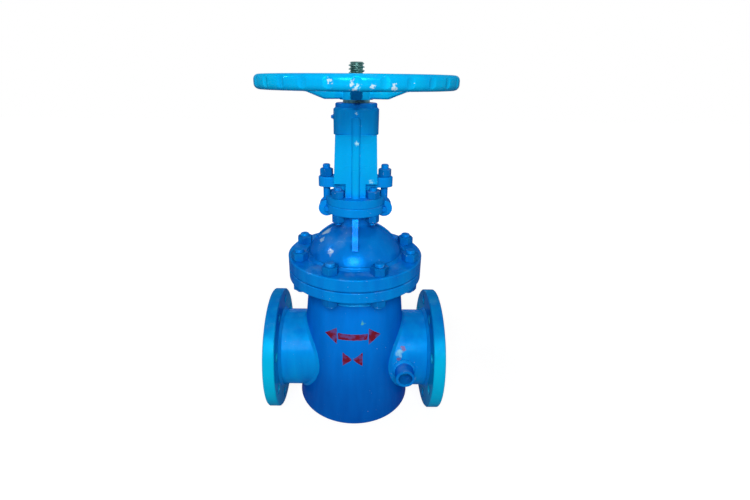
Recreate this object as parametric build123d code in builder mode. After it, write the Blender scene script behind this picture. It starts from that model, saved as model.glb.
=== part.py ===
from build123d import *
import os
from math import atan, cos, degrees, hypot, radians, tan

os.makedirs("parts", exist_ok=True)

# Jacketed gate valve with flanged ends, a bolted bonnet, a two-legged yoke and a rising stem.
# The origin is at the centre of the inlet face. +X runs along the flow, +Z up the stem.

# Pipeline ends
face_to_face = 312.0
bore_d = 100.0
end_flange_d = 220.0
end_flange_t = 20.0
raised_face_d = 158.0
raised_face_t = 2.0
pipe_bolt_circle_d = 180.0
pipe_bolt_hole_d = 18.0
pipe_bolt_count = 8
rim_chamfer = 1.5

# Pressure body inside the jacket
flow_tube_wall = 7.0
chamber_bore_d = 136.0
chamber_wall = 5.5
chamber_floor_t = 8.0
chamber_weld_gap = 0.2
collar_nut_gap = 4.0
wedge_floor_gap = 7.0

# Steam jacket
jacket_top_z = 137.0
jacket_bottom_z = -92.0
jacket_top_gap = 4.0
jacket_flare = 22.0
jacket_wall = 5.0
nozzle_jacket_d = 141.0
nozzle_jacket_wall = 5.0

# Jacket ports
port_d = 33.0
port_thread_d = 24.0
port_thread_stop = 0.5
port_passage_gap = 0.5
port_offset_x = 89.0
port_reach_y = 95.0

# Bolted joint between body and bonnet
flange_edge = 16.0
body_flange_t = 18.0
body_flange_top_z = 177.5
gasket_t = 2.0
gasket_setback = 1.5
gasket_bolt_gap = 2.0
bonnet_flange_t = 20.5
dome_nut_gap = 3.64
bonnet_bolt_count = 8
bonnet_stud_d = 16.0
bonnet_nut_af = 24.0
bonnet_nut_h = 13.5
stud_hole_clearance = 0.75
stud_end = 5.0
stud_chamfer = 1.2
joint_chamfer = 0.8

# Bonnet dome and neck
dome_d = 163.0
dome_rise = 66.0
dome_sink = 10.0
dome_wall = 8.0
dome_knuckle_r = 50.0
neck_d = 50.0
neck_root_fillet = 7.0
neck_rise = 76.0
neck_spigot = 3.0
top_flange_edge = 1.7
top_flange_t = 13.5
rib_t = 10.0
rib_top_y = 40.0
rib_foot_y = 68.0
rib_foot_rise = 27.0

# Stuffing box
packing_d = 37.0
packing_base_rise = 50.0
packing_h = 38.0
stem_guide_clearance = 0.4
packing_clearance = 0.05
bush_clearance = 0.3

# Gland
gland_bolt_x = 47.0
gland_lobe_d = 26.4
gland_centre_d = 38.0
gland_t = 16.0
gland_gap = 13.0
gland_bolt_d = 12.0
gland_nut_af = 19.0
gland_nut_h = 12.0
gland_bolt_end = 7.0
eye_d = 25.0
eye_t = 12.0
eye_pin_d = 8.0
eye_pin_l = 40.0
eye_side_gap = 0.75
ear_d = 26.5
ear_t = 7.0
ear_drop = 5.5
ear_reach = 60.0
ear_root_x = 30.0
ear_yoke_gap = 1.0

# Yoke
yoke_flange_t = 13.5
yoke_bolt_x = 27.5
yoke_bolt_y = 30.5
yoke_stud_d = 12.0
yoke_nut_af = 19.0
yoke_nut_h = 12.0
nut_pocket_d = 23.4
nut_pocket_h = 22.0
leg_half_w_foot = 35.0
leg_half_w_top = 31.0
leg_outer_y_foot = 29.0
leg_outer_y_top = 36.0
leg_t = 8.0
leg_heel_y = 17.6
leg_heel_h = 26.0
leg_rib_t = 13.0
leg_rib_y_foot = 35.0
leg_rib_y_top = 40.0
leg_rib_over = 27.0
leg_rib_round = 4.5
leg_rib_nose = 7.0
head_d = 70.0
head_h = 39.5
window_h = 95.0
leg_overlap = 2.0
head_shelf_t = 7.0
head_chamfer = 3.0
cap_d = 64.0
cap_t = 6.0
cap_chamfer = 1.5
nipple_d = 8.0
nipple_rise = 25.0
nipple_reach = 1.2
nipple_ball_d = 5.0
nipple_round = 1.0

# Stem, stem nut and handwheel
stem_d = 24.0
stem_top_rise = 16.6
stem_chamfer = 3.0
thread_clearance = 0.05
collar_d = 52.0
collar_clearance = 0.3
nut_sleeve_d = 41.2
nut_ring_rise = 4.5
hub_shank_d = 32.0
hub_shank_flat = 28.0
hub_d = 50.0
hub_h = 27.0
lock_nut_af = 46.0
lock_nut_h = 8.0
lock_nut_chamfer = 1.0
wheel_d = 299.0
rim_h = 20.0
rim_w = 19.0
rim_round = 7.5
rim_mid_rise = 24.0
scallop_d = 30.0
scallop_depth = 1.4
scallop_count = 28
spoke_count = 5
spoke_foot_rise = 1.0
spoke_w = 17.0
spoke_t = 11.0
spoke_level_r = 50.0
spoke_bend_r = 76.0
spoke_bend_rise = 10.0
spoke_round = 4.0

# Wedge and seats
wedge_d = 118.0
wedge_t = 36.0
wedge_angle = 5.0
seat_back = 27.0
seat_gap = 0.3
wedge_boss_d = 44.0
wedge_boss_h = 26.0
wedge_boss_sink = 12.0
wedge_boss_round = 6.0
slot_neck_clearance = 0.5
stem_head_d = 34.0
stem_head_t = 9.0
stem_head_gap = 1.0
stem_neck_h = 10.0

# How near an edge or corner has to be to the place that it is picked by
match_tolerance = 0.01

# Places worked out from the sizes above
stem_x = face_to_face / 2
flange_total_t = end_flange_t + raised_face_t
bore_r = bore_d / 2
tube_r = bore_r + flow_tube_wall
chamber_r = chamber_bore_d / 2
chamber_outer_r = chamber_r + chamber_wall
jacket_top_d = 2 * (chamber_outer_r + jacket_top_gap + jacket_wall)
jacket_bottom_d = jacket_top_d + 2 * jacket_flare
nut_corner_r = bonnet_nut_af / 2 / cos(radians(30))
bonnet_bolt_circle_d = dome_d + 2 * (nut_corner_r + dome_nut_gap)
bonnet_flange_d = bonnet_bolt_circle_d + 2 * flange_edge
body_collar_d = bonnet_bolt_circle_d - 2 * (nut_corner_r + collar_nut_gap)
wedge_r = wedge_d / 2
chamber_floor_z = -wedge_r - wedge_floor_gap
body_flange_z = body_flange_top_z - body_flange_t
bonnet_z = body_flange_top_z + gasket_t
bonnet_flange_top_z = bonnet_z + bonnet_flange_t
dome_centre_z = bonnet_flange_top_z - dome_sink
top_flange_z = bonnet_flange_top_z + neck_rise
yoke_z = top_flange_z + top_flange_t
yoke_flange_top_z = yoke_z + yoke_flange_t
neck_top_z = yoke_flange_top_z + neck_spigot
packing_z = bonnet_flange_top_z + packing_base_rise
gland_z = yoke_flange_top_z + gland_gap
gland_top_z = gland_z + gland_t
eye_z = top_flange_z + ear_drop
head_z = yoke_flange_top_z + window_h
head_top_z = head_z + head_h
cap_top_z = head_top_z + cap_t
hub_z = cap_top_z + nut_ring_rise
hub_top_z = hub_z + hub_h
lock_nut_top_z = hub_top_z + lock_nut_h
stem_top_z = lock_nut_top_z + stem_top_rise
wheel_mid_z = hub_z + rim_mid_rise
rim_r = wheel_d / 2 - rim_w / 2
wedge_slope = tan(radians(wedge_angle))
wedge_boss_z = wedge_r - wedge_boss_sink
wedge_top_z = wedge_r + wedge_boss_h
bonnet_hole_d = bonnet_stud_d + 2 * stud_hole_clearance
yoke_hole_d = yoke_stud_d + 2 * stud_hole_clearance
top_flange_d = 2 * (hypot(yoke_bolt_x, yoke_bolt_y) + yoke_hole_d / 2 + top_flange_edge)
gland_hole_d = gland_bolt_d + 2 * stud_hole_clearance
half_step = 180 / bonnet_bolt_count
slot_half_w = eye_t / 2 + eye_side_gap
ear_outer_y = slot_half_w + ear_t

stem_plane = Plane(origin=(stem_x, 0, 0), x_dir=(1, 0, 0), z_dir=(0, -1, 0))
side_plane = Plane(origin=(stem_x, 0, 0), x_dir=(0, 1, 0), z_dir=(1, 0, 0))
stem_axis = Axis((stem_x, 0, 0), (0, 0, 1))


def level(z):
    """Horizontal plane at height z, centred on the stem."""
    return Plane(origin=(stem_x, 0, z))


def along_flow(x):
    """Plane across the flow at distance x from the inlet face, normal along +X."""
    return Plane(origin=(x, 0, 0), x_dir=(0, 1, 0), z_dir=(1, 0, 0))


def jacket_radius(z):
    """Outer radius of the tapered jacket at height z."""
    share = (z - jacket_bottom_z) / (jacket_top_z - jacket_bottom_z)
    return (jacket_bottom_d + share * (jacket_top_d - jacket_bottom_d)) / 2


def cone_outline(low_z, high_z, wall=0.0):
    """Half outline of the jacket's taper between two heights, a wall's thickness inside its skin."""
    Polyline(
        (0, low_z),
        (jacket_radius(low_z) - wall, low_z),
        (jacket_radius(high_z) - wall, high_z),
        (0, high_z),
        close=True,
    )


def bolt_spots(pattern):
    """Bolt centres of one joint, as offsets from the stem: the ring of the bonnet or the four of the yoke."""
    if pattern == "bonnet":
        return PolarLocations(bonnet_bolt_circle_d / 2, bonnet_bolt_count, half_step)
    return GridLocations(2 * yoke_bolt_x, 2 * yoke_bolt_y, 2, 2)


def save(piece, name):
    """Label a finished piece and write it under its name."""
    piece.part.label = name
    export_step(piece.part, f"parts/{name}.step")


# Wedge chamber: an upright barrel with a floor, two holes for the flow tubes and a collar under its flange.
with BuildPart() as wedge_chamber:
    with BuildSketch(level(chamber_floor_z - chamber_floor_t)):
        Circle(chamber_outer_r)
    extrude(amount=body_flange_z - chamber_floor_z + chamber_floor_t)
    with BuildSketch(level(jacket_top_z)):
        Circle(body_collar_d / 2)
    extrude(amount=body_flange_z - jacket_top_z)
    with BuildSketch(level(chamber_floor_z)):
        Circle(chamber_r)
    extrude(amount=body_flange_z - chamber_floor_z, mode=Mode.SUBTRACT)
    with BuildSketch(along_flow(0)):
        Circle(tube_r + chamber_weld_gap)
    extrude(amount=face_to_face, mode=Mode.SUBTRACT)
save(wedge_chamber, "wedge_chamber")


def flow_tube(outward):
    """Bore tube from the back of one end flange to its seat."""
    start_x = stem_x + outward * seat_back
    tube_plane = Plane(origin=(start_x, 0, 0), x_dir=(0, 1, 0), z_dir=(outward, 0, 0))
    with BuildPart() as tube:
        with BuildSketch(tube_plane):
            Circle(tube_r)
            Circle(bore_r, mode=Mode.SUBTRACT)
        extrude(amount=stem_x - seat_back - flange_total_t)
    return tube


save(flow_tube(-1), "flow_tube_inlet")
save(flow_tube(1), "flow_tube_outlet")


def end_flange(face_x, outward):
    """Pipe flange with its raised face at face_x; outward is -1 at the inlet, 1 at the outlet."""
    face_plane = Plane(origin=(face_x, 0, 0), x_dir=(0, 1, 0), z_dir=(outward, 0, 0))
    rim_plane = face_plane.offset(-raised_face_t)
    with BuildPart() as flange:
        with BuildSketch(rim_plane):
            Circle(end_flange_d / 2)
        extrude(amount=-end_flange_t)
        chamfer(flange.edges().filter_by(GeomType.CIRCLE), rim_chamfer)
        with BuildSketch(rim_plane):
            Circle(raised_face_d / 2)
        extrude(amount=raised_face_t)
        with BuildSketch(face_plane):
            Circle(bore_r)
            with PolarLocations(pipe_bolt_circle_d / 2, pipe_bolt_count, 180 / pipe_bolt_count):
                Circle(pipe_bolt_hole_d / 2)
        extrude(amount=-flange_total_t, mode=Mode.SUBTRACT)
    return flange


save(end_flange(0.0, -1), "inlet_flange")
save(end_flange(face_to_face, 1), "outlet_flange")

# Jacket shell: a tapered skin closed by a ring at the top and a plate at the bottom.
jacket_ring_z = jacket_top_z - jacket_wall
jacket_plate_z = jacket_bottom_z + jacket_wall
nozzle_inner_r = nozzle_jacket_d / 2 - nozzle_jacket_wall
with BuildPart() as jacket_shell:
    with BuildSketch(stem_plane):
        with BuildLine():
            cone_outline(jacket_bottom_z, jacket_top_z)
        make_face()
    revolve(axis=stem_axis)
    with BuildSketch(stem_plane):
        with BuildLine():
            cone_outline(jacket_plate_z, jacket_ring_z, jacket_wall)
        make_face()
    revolve(axis=stem_axis, mode=Mode.SUBTRACT)
    with BuildSketch(level(jacket_ring_z)):
        Circle(chamber_outer_r)
    extrude(amount=jacket_wall, mode=Mode.SUBTRACT)
    with BuildSketch(along_flow(0)):
        Circle(nozzle_inner_r)
    extrude(amount=face_to_face, mode=Mode.SUBTRACT)
save(jacket_shell, "jacket_shell")


def jacket_nozzle(outward):
    """Jacket tube round one end of the flow tube, saddled on the shell and drilled for its port."""
    root_x = stem_x + outward * (jacket_radius(0) / 2)
    end_x = stem_x + outward * (stem_x - flange_total_t)
    tube_plane = Plane(origin=(root_x, 0, 0), x_dir=(0, 1, 0), z_dir=(outward, 0, 0))
    port_x = stem_x + outward * port_offset_x
    port_plane = Plane(origin=(port_x, 0, 0), x_dir=(1, 0, 0), z_dir=(0, -outward, 0))
    with BuildPart() as nozzle:
        with BuildSketch(tube_plane):
            Circle(nozzle_jacket_d / 2)
            Circle(nozzle_inner_r, mode=Mode.SUBTRACT)
        extrude(amount=abs(end_x - root_x))
        with BuildSketch(stem_plane):
            with BuildLine():
                cone_outline(jacket_bottom_z, jacket_top_z)
            make_face()
        revolve(axis=stem_axis, mode=Mode.SUBTRACT)
        with BuildSketch(port_plane):
            Circle(port_thread_d / 2 + port_passage_gap)
        extrude(amount=nozzle_jacket_d, mode=Mode.SUBTRACT)
    return nozzle


save(jacket_nozzle(-1), "jacket_nozzle_inlet")
save(jacket_nozzle(1), "jacket_nozzle_outlet")


def jacket_port(outward):
    """Half coupling on one jacket tube, its mouth facing sideways and its thread ending in a relief."""
    mouth = Plane(
        origin=(stem_x + outward * port_offset_x, -outward * port_reach_y, 0),
        x_dir=(1, 0, 0),
        z_dir=(0, -outward, 0),
    )
    thread_l = port_reach_y - nozzle_jacket_d / 2 - port_thread_stop
    with BuildPart() as port:
        with BuildSketch(mouth):
            Circle(port_d / 2)
            Circle(port_thread_d / 2, mode=Mode.SUBTRACT)
        extrude(amount=-port_reach_y)
        with BuildSketch(mouth.offset(-thread_l)):
            Circle(port_thread_d / 2 + port_passage_gap)
        extrude(amount=thread_l - port_reach_y, mode=Mode.SUBTRACT)
        with BuildSketch(along_flow(0)):
            Circle(nozzle_jacket_d / 2)
        extrude(amount=face_to_face, mode=Mode.SUBTRACT)
    return port


save(jacket_port(1), "jacket_port_front")
save(jacket_port(-1), "jacket_port_back")


def seat_ring(outward):
    """Seat ring on the inner end of a flow tube, its face sloped to the wedge."""
    back = Plane(origin=(stem_x + outward * seat_back, 0, 0), x_dir=(0, 1, 0), z_dir=(-outward, 0, 0))
    face_offset = wedge_t / 2 + seat_gap
    with BuildPart() as ring:
        with BuildSketch(back):
            Circle(tube_r)
            Circle(bore_r, mode=Mode.SUBTRACT)
        extrude(amount=seat_back)
        with BuildSketch(stem_plane):
            with BuildLine():
                Polyline(
                    (-outward * wedge_r, -2 * wedge_r),
                    (outward * (face_offset - 2 * wedge_r * wedge_slope), -2 * wedge_r),
                    (outward * (face_offset + 2 * wedge_r * wedge_slope), 2 * wedge_r),
                    (-outward * wedge_r, 2 * wedge_r),
                    close=True,
                )
            make_face()
        extrude(amount=wedge_d, both=True, mode=Mode.SUBTRACT)
    return ring


save(seat_ring(-1), "inlet_seat_ring")
save(seat_ring(1), "outlet_seat_ring")

# Body flange on top of the chamber, drilled for the bonnet studs.
with BuildPart() as body_flange:
    with BuildSketch(level(body_flange_z)):
        Circle(bonnet_flange_d / 2)
    extrude(amount=body_flange_t)
    body_rims = body_flange.edges().filter_by(GeomType.CIRCLE).group_by(Axis.Z)
    chamfer(body_rims[0], rim_chamfer)
    chamfer(body_rims[-1], joint_chamfer)
    with BuildSketch(level(body_flange_z)):
        Circle(chamber_r)
        with bolt_spots("bonnet"):
            Circle(bonnet_hole_d / 2)
    extrude(amount=body_flange_t, mode=Mode.SUBTRACT)
save(body_flange, "body_flange")

# Flat gasket inside the ring of studs.
dome_inner_r = dome_d / 2 - dome_wall
gasket_inner_r = max(chamber_r, dome_inner_r) + gasket_setback
gasket_outer_r = bonnet_bolt_circle_d / 2 - bonnet_hole_d / 2 - gasket_bolt_gap
with BuildPart() as bonnet_gasket:
    with BuildSketch(level(body_flange_top_z)):
        Circle(gasket_outer_r)
        Circle(gasket_inner_r, mode=Mode.SUBTRACT)
    extrude(amount=gasket_t)
save(bonnet_gasket, "bonnet_gasket")


def dome_outline(radius, rise, knuckle_r):
    """Half outline of the dome: a knuckle arc that turns into the crown arc, closed along the axis."""
    share = (rise - knuckle_r) / (radius - knuckle_r)
    knuckle_turn = 90 - 2 * degrees(atan(share))
    crown_r = knuckle_r + (radius - knuckle_r) / cos(radians(knuckle_turn))
    knuckle = JernArc((radius, dome_centre_z), (0, 1), knuckle_r, knuckle_turn)
    crown = JernArc(knuckle @ 1, knuckle % 1, crown_r, 90 - knuckle_turn)
    Polyline(crown @ 1, (0, dome_centre_z), (radius, dome_centre_z))


# Bonnet flange, recessed for the foot of the dome.
with BuildPart() as bonnet_flange:
    with BuildSketch(level(bonnet_z)):
        Circle(bonnet_flange_d / 2)
    extrude(amount=bonnet_flange_t)
    bonnet_rims = bonnet_flange.edges().filter_by(GeomType.CIRCLE).group_by(Axis.Z)
    chamfer(bonnet_rims[0], joint_chamfer)
    chamfer(bonnet_rims[-1], rim_chamfer)
    with BuildSketch(level(bonnet_z)):
        Circle(dome_inner_r)
        with bolt_spots("bonnet"):
            Circle(bonnet_hole_d / 2)
    extrude(amount=bonnet_flange_t, mode=Mode.SUBTRACT)
    with BuildSketch(level(dome_centre_z)):
        Circle(dome_d / 2)
    extrude(amount=dome_sink, mode=Mode.SUBTRACT)
save(bonnet_flange, "bonnet_flange")

# Bonnet: dome, neck with its stuffing box, top flange, two ribs and four ears.
rib_foot_z = bonnet_flange_top_z + rib_foot_rise
with BuildPart() as bonnet:
    with BuildSketch(stem_plane) as dome_section:
        with BuildLine():
            dome_outline(dome_d / 2, dome_rise, dome_knuckle_r)
        make_face()
        with Locations((neck_d / 4, (dome_centre_z + neck_top_z) / 2)):
            Rectangle(neck_d / 2, neck_top_z - dome_centre_z)
        neck_root = dome_section.vertices().filter_by(
            lambda v: abs(v.X - neck_d / 2) < match_tolerance and dome_centre_z < v.Y < top_flange_z
        )
        fillet(neck_root, neck_root_fillet)
    revolve(axis=stem_axis)
    with BuildSketch(side_plane):
        for side in (-1, 1):
            with BuildLine():
                Polyline(
                    (0, top_flange_z),
                    (side * rib_top_y, top_flange_z),
                    (side * rib_foot_y, rib_foot_z),
                    (0, rib_foot_z),
                    close=True,
                )
            make_face()
    extrude(amount=rib_t / 2, both=True)
    with BuildSketch(level(top_flange_z)):
        Circle(top_flange_d / 2)
    extrude(amount=top_flange_t)
    top_rim = bonnet.edges().filter_by(GeomType.CIRCLE).filter_by(
        lambda e: abs(e.radius - top_flange_d / 2) < match_tolerance
    )
    chamfer(top_rim.sort_by(Axis.Z)[-1:], joint_chamfer)
    with BuildSketch(stem_plane):
        with Locations((-gland_bolt_x, eye_z), (gland_bolt_x, eye_z)):
            Circle(ear_d / 2)
        for side in (-1, 1):
            with Locations((side * (gland_bolt_x + ear_root_x) / 2, top_flange_z + top_flange_t / 2)):
                Rectangle(gland_bolt_x - ear_root_x, top_flange_t)
    extrude(amount=ear_outer_y, both=True)
    with BuildSketch(stem_plane):
        for side in (-1, 1):
            with Locations((side * (ear_root_x + ear_reach / 2), eye_z)):
                Rectangle(ear_reach, 2 * ear_reach)
    extrude(amount=slot_half_w, both=True, mode=Mode.SUBTRACT)
    with BuildSketch(stem_plane):
        with Locations((-gland_bolt_x, eye_z), (gland_bolt_x, eye_z)):
            Circle(eye_pin_d / 2)
    extrude(amount=top_flange_d / 2, both=True, mode=Mode.SUBTRACT)
    with BuildSketch(stem_plane):
        with BuildLine():
            dome_outline(dome_inner_r, dome_rise - dome_wall, dome_knuckle_r - dome_wall)
        make_face()
    revolve(axis=stem_axis, mode=Mode.SUBTRACT)
    with BuildSketch(level(dome_centre_z)):
        Circle(stem_d / 2 + stem_guide_clearance)
    extrude(amount=neck_top_z - dome_centre_z, mode=Mode.SUBTRACT)
    with BuildSketch(level(packing_z)):
        Circle(packing_d / 2)
    extrude(amount=neck_top_z - packing_z, mode=Mode.SUBTRACT)
    with BuildSketch(level(top_flange_z)):
        with bolt_spots("yoke"):
            Circle(yoke_hole_d / 2)
    extrude(amount=top_flange_t, mode=Mode.SUBTRACT)
save(bonnet, "bonnet")


def studs(pattern, stud_d, bottom_z, top_z):
    """All the studs of one joint, with chamfered ends."""
    with BuildPart() as stud_set:
        with BuildSketch(level(bottom_z)):
            with bolt_spots(pattern):
                Circle(stud_d / 2)
        extrude(amount=top_z - bottom_z)
        chamfer(stud_set.edges().filter_by(GeomType.CIRCLE), stud_chamfer)
    return stud_set


def nuts(pattern, across_flats, bore, bottom_z, height):
    """All the nuts on one side of one joint."""
    with BuildPart() as nut_set:
        with BuildSketch(level(bottom_z)):
            with bolt_spots(pattern):
                RegularPolygon(across_flats / 2, 6, major_radius=False)
                Circle(bore / 2, mode=Mode.SUBTRACT)
        extrude(amount=height)
    return nut_set


bonnet_stud_low_z = body_flange_z - bonnet_nut_h - stud_end
bonnet_stud_high_z = bonnet_flange_top_z + bonnet_nut_h + stud_end
save(studs("bonnet", bonnet_stud_d, bonnet_stud_low_z, bonnet_stud_high_z), "bonnet_studs")
save(
    nuts("bonnet", bonnet_nut_af, bonnet_stud_d, bonnet_flange_top_z, bonnet_nut_h),
    "bonnet_top_nuts",
)
save(
    nuts("bonnet", bonnet_nut_af, bonnet_stud_d, body_flange_z - bonnet_nut_h, bonnet_nut_h),
    "bonnet_bottom_nuts",
)

# Rib down the middle of one leg, with round outer edges and a round nose on the head.
leg_top_z = head_z + leg_overlap
leg_rib_top_z = head_z + leg_rib_over
with BuildPart() as leg_rib:
    with BuildSketch(side_plane) as rib_section:
        with BuildLine():
            Polyline(
                (leg_outer_y_foot - leg_t / 2, yoke_flange_top_z),
                (leg_rib_y_foot, yoke_flange_top_z),
                (leg_rib_y_top, head_z),
                (leg_rib_y_top, leg_rib_top_z),
                (head_d / 2 - leg_t, leg_rib_top_z),
                (leg_outer_y_top - leg_t / 2, leg_top_z),
                close=True,
            )
        make_face()
        nose = rib_section.vertices().filter_by(
            lambda v: abs(v.Y - leg_rib_y_top) < match_tolerance and v.Z > leg_top_z
        )
        fillet(nose, leg_rib_nose)
    extrude(amount=leg_rib_t / 2, both=True)
    outer_edges = leg_rib.edges().filter_by(
        lambda e: abs(abs(e.center().X - stem_x) - leg_rib_t / 2) < match_tolerance
        and e.center().Y > head_d / 2 - leg_t / 2
        and e.center().Z > yoke_flange_top_z + match_tolerance
    )
    fillet(outer_edges, leg_rib_round)

# The two leg plates in front of and behind the stem: they lean outwards and narrow towards the head.
with BuildPart() as leg_plates:
    with BuildSketch(side_plane):
        for side in (-1, 1):
            with BuildLine():
                Polyline(
                    (side * leg_heel_y, yoke_flange_top_z),
                    (side * leg_outer_y_foot, yoke_flange_top_z),
                    (side * leg_outer_y_top, leg_top_z),
                    (side * (leg_outer_y_top - leg_t), leg_top_z),
                    (side * (leg_outer_y_foot - leg_t), yoke_flange_top_z + leg_heel_h),
                    (side * leg_heel_y, yoke_flange_top_z + leg_heel_h),
                    close=True,
                )
            make_face()
    extrude(amount=leg_half_w_foot, both=True)
    with BuildSketch(stem_plane):
        with BuildLine():
            Polyline(
                (-leg_half_w_foot, yoke_flange_top_z),
                (leg_half_w_foot, yoke_flange_top_z),
                (leg_half_w_top, leg_top_z),
                (-leg_half_w_top, leg_top_z),
                close=True,
            )
        make_face()
    extrude(amount=leg_outer_y_top, both=True, mode=Mode.INTERSECT)

# Yoke: flange, ribbed legs and the round head.
with BuildPart() as yoke:
    with BuildSketch(level(yoke_z)):
        Circle(top_flange_d / 2)
    extrude(amount=yoke_flange_t)
    chamfer(yoke.edges().filter_by(GeomType.CIRCLE).group_by(Axis.Z)[0], joint_chamfer)
    with BuildSketch(level(head_z)):
        Circle(head_d / 2)
    extrude(amount=head_h)
    chamfer(yoke.edges().filter_by(GeomType.CIRCLE).group_by(Axis.Z)[-1], head_chamfer)
    add(leg_plates.part)
    for turn in (0, 180):
        add(leg_rib.part.rotate(stem_axis, turn))
    with BuildSketch(level(yoke_flange_top_z)):
        with bolt_spots("yoke"):
            Circle(nut_pocket_d / 2)
    extrude(amount=nut_pocket_h, mode=Mode.SUBTRACT)
    with BuildSketch(level(yoke_z)):
        Circle(neck_d / 2 + bush_clearance)
    extrude(amount=yoke_flange_t + leg_heel_h, mode=Mode.SUBTRACT)
    with BuildSketch(level(yoke_z)):
        with bolt_spots("yoke"):
            Circle(yoke_hole_d / 2)
        for side in (-1, 1):
            with Locations((side * (ear_root_x + ear_reach / 2), 0)):
                Rectangle(ear_reach, 2 * (ear_outer_y + ear_yoke_gap))
    extrude(amount=yoke_flange_t, mode=Mode.SUBTRACT)
    with BuildSketch(level(head_z)):
        Circle(nut_sleeve_d / 2 + collar_clearance)
    extrude(amount=head_shelf_t, mode=Mode.SUBTRACT)
    with BuildSketch(level(head_z + head_shelf_t)):
        Circle(collar_d / 2 + collar_clearance)
    extrude(amount=head_h - head_shelf_t, mode=Mode.SUBTRACT)
save(yoke, "yoke")

# Cap ring that closes the head over the collar of the stem nut.
with BuildPart() as yoke_cap:
    with BuildSketch(level(head_top_z)):
        Circle(cap_d / 2)
        Circle(nut_sleeve_d / 2 + collar_clearance, mode=Mode.SUBTRACT)
    extrude(amount=cap_t)
    cap_rims = yoke_cap.edges().filter_by(GeomType.CIRCLE).group_by(Axis.Z)[-1]
    chamfer(cap_rims.sort_by(SortBy.RADIUS)[-1:], cap_chamfer)
save(yoke_cap, "yoke_cap")

# Grease nipple on the inlet side of the head.
nipple_z = head_z + nipple_rise
nipple_root_x = stem_x - head_d / 2
nipple_plane = Plane(origin=(nipple_root_x, 0, nipple_z), x_dir=(0, 1, 0), z_dir=(-1, 0, 0))
with BuildPart() as grease_nipple:
    with BuildSketch(nipple_plane.offset(-nipple_d / 2)):
        RegularPolygon(nipple_d / 2, 6)
    extrude(amount=nipple_reach + nipple_d / 2)
    with BuildSketch(nipple_plane.offset(nipple_reach)):
        Circle(nipple_ball_d / 2)
    extrude(amount=nipple_ball_d / 2)
    fillet(grease_nipple.faces().sort_by(Axis.X)[0].edges(), nipple_round)
    with BuildSketch(level(head_z)):
        Circle(head_d / 2)
    extrude(amount=head_h, mode=Mode.SUBTRACT)
save(grease_nipple, "grease_nipple")

yoke_stud_low_z = top_flange_z - yoke_nut_h - stud_end
yoke_stud_high_z = yoke_flange_top_z + yoke_nut_h + stud_end
save(studs("yoke", yoke_stud_d, yoke_stud_low_z, yoke_stud_high_z), "yoke_studs")
save(nuts("yoke", yoke_nut_af, yoke_stud_d, yoke_flange_top_z, yoke_nut_h), "yoke_top_nuts")
save(nuts("yoke", yoke_nut_af, yoke_stud_d, top_flange_z - yoke_nut_h, yoke_nut_h), "yoke_bottom_nuts")

# Packing rings round the stem, as one sleeve.
packing_top_z = packing_z + packing_h
with BuildPart() as gland_packing:
    with BuildSketch(level(packing_z)):
        Circle(packing_d / 2)
        Circle(stem_d / 2 + packing_clearance, mode=Mode.SUBTRACT)
    extrude(amount=packing_h)
save(gland_packing, "gland_packing")

# Gland: an oval flange with a bush that presses on the packing.
with BuildPart() as gland_flange:
    with BuildSketch(level(gland_z)):
        with Locations((-gland_bolt_x, 0), (gland_bolt_x, 0)):
            Circle(gland_lobe_d / 2)
        Circle(gland_centre_d / 2)
        make_hull()
    extrude(amount=gland_t)
    chamfer(gland_flange.faces().sort_by(Axis.Z)[-1].edges(), rim_chamfer)
    with BuildSketch(level(packing_top_z)):
        Circle(packing_d / 2 - bush_clearance)
    extrude(amount=gland_z - packing_top_z)
    with BuildSketch(level(packing_top_z)):
        Circle(stem_d / 2 + stem_guide_clearance)
    extrude(amount=gland_top_z - packing_top_z, mode=Mode.SUBTRACT)
    with BuildSketch(level(gland_z)):
        with Locations((-gland_bolt_x, 0), (gland_bolt_x, 0)):
            Circle(gland_hole_d / 2)
    extrude(amount=gland_t, mode=Mode.SUBTRACT)
save(gland_flange, "gland_flange")


def eye_bolt(side):
    """Swing bolt with its eye between the ears of the bonnet."""
    bolt_plane = Plane(origin=(stem_x + side * gland_bolt_x, 0, 0), x_dir=(1, 0, 0), z_dir=(0, -1, 0))
    with BuildPart() as bolt:
        with BuildSketch(bolt_plane):
            with Locations((0, eye_z)):
                Circle(eye_d / 2)
        extrude(amount=eye_t / 2, both=True)
        with BuildSketch(Plane(origin=(stem_x + side * gland_bolt_x, 0, eye_z))):
            Circle(gland_bolt_d / 2)
        extrude(amount=gland_top_z + gland_nut_h + gland_bolt_end - eye_z)
        chamfer(bolt.faces().sort_by(Axis.Z)[-1].edges(), stud_chamfer)
        with BuildSketch(bolt_plane):
            with Locations((0, eye_z)):
                Circle(eye_pin_d / 2)
        extrude(amount=eye_t / 2, both=True, mode=Mode.SUBTRACT)
    return bolt


def eye_pin(side):
    """Pin through the ears and the eye of one swing bolt."""
    pin_plane = Plane(origin=(stem_x + side * gland_bolt_x, 0, eye_z), x_dir=(1, 0, 0), z_dir=(0, -1, 0))
    with BuildPart() as pin:
        with BuildSketch(pin_plane):
            Circle(eye_pin_d / 2)
        extrude(amount=eye_pin_l / 2, both=True)
    return pin


def gland_nut(side):
    """Nut on top of the gland flange at one swing bolt."""
    with BuildPart() as nut:
        with BuildSketch(Plane(origin=(stem_x + side * gland_bolt_x, 0, gland_top_z))):
            RegularPolygon(gland_nut_af / 2, 6, major_radius=False)
            Circle(gland_bolt_d / 2, mode=Mode.SUBTRACT)
        extrude(amount=gland_nut_h)
    return nut


for side, place in ((-1, "inlet"), (1, "outlet")):
    save(eye_bolt(side), f"eye_bolt_{place}")
    save(eye_pin(side), f"eye_pin_{place}")
    save(gland_nut(side), f"gland_nut_{place}")

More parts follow.
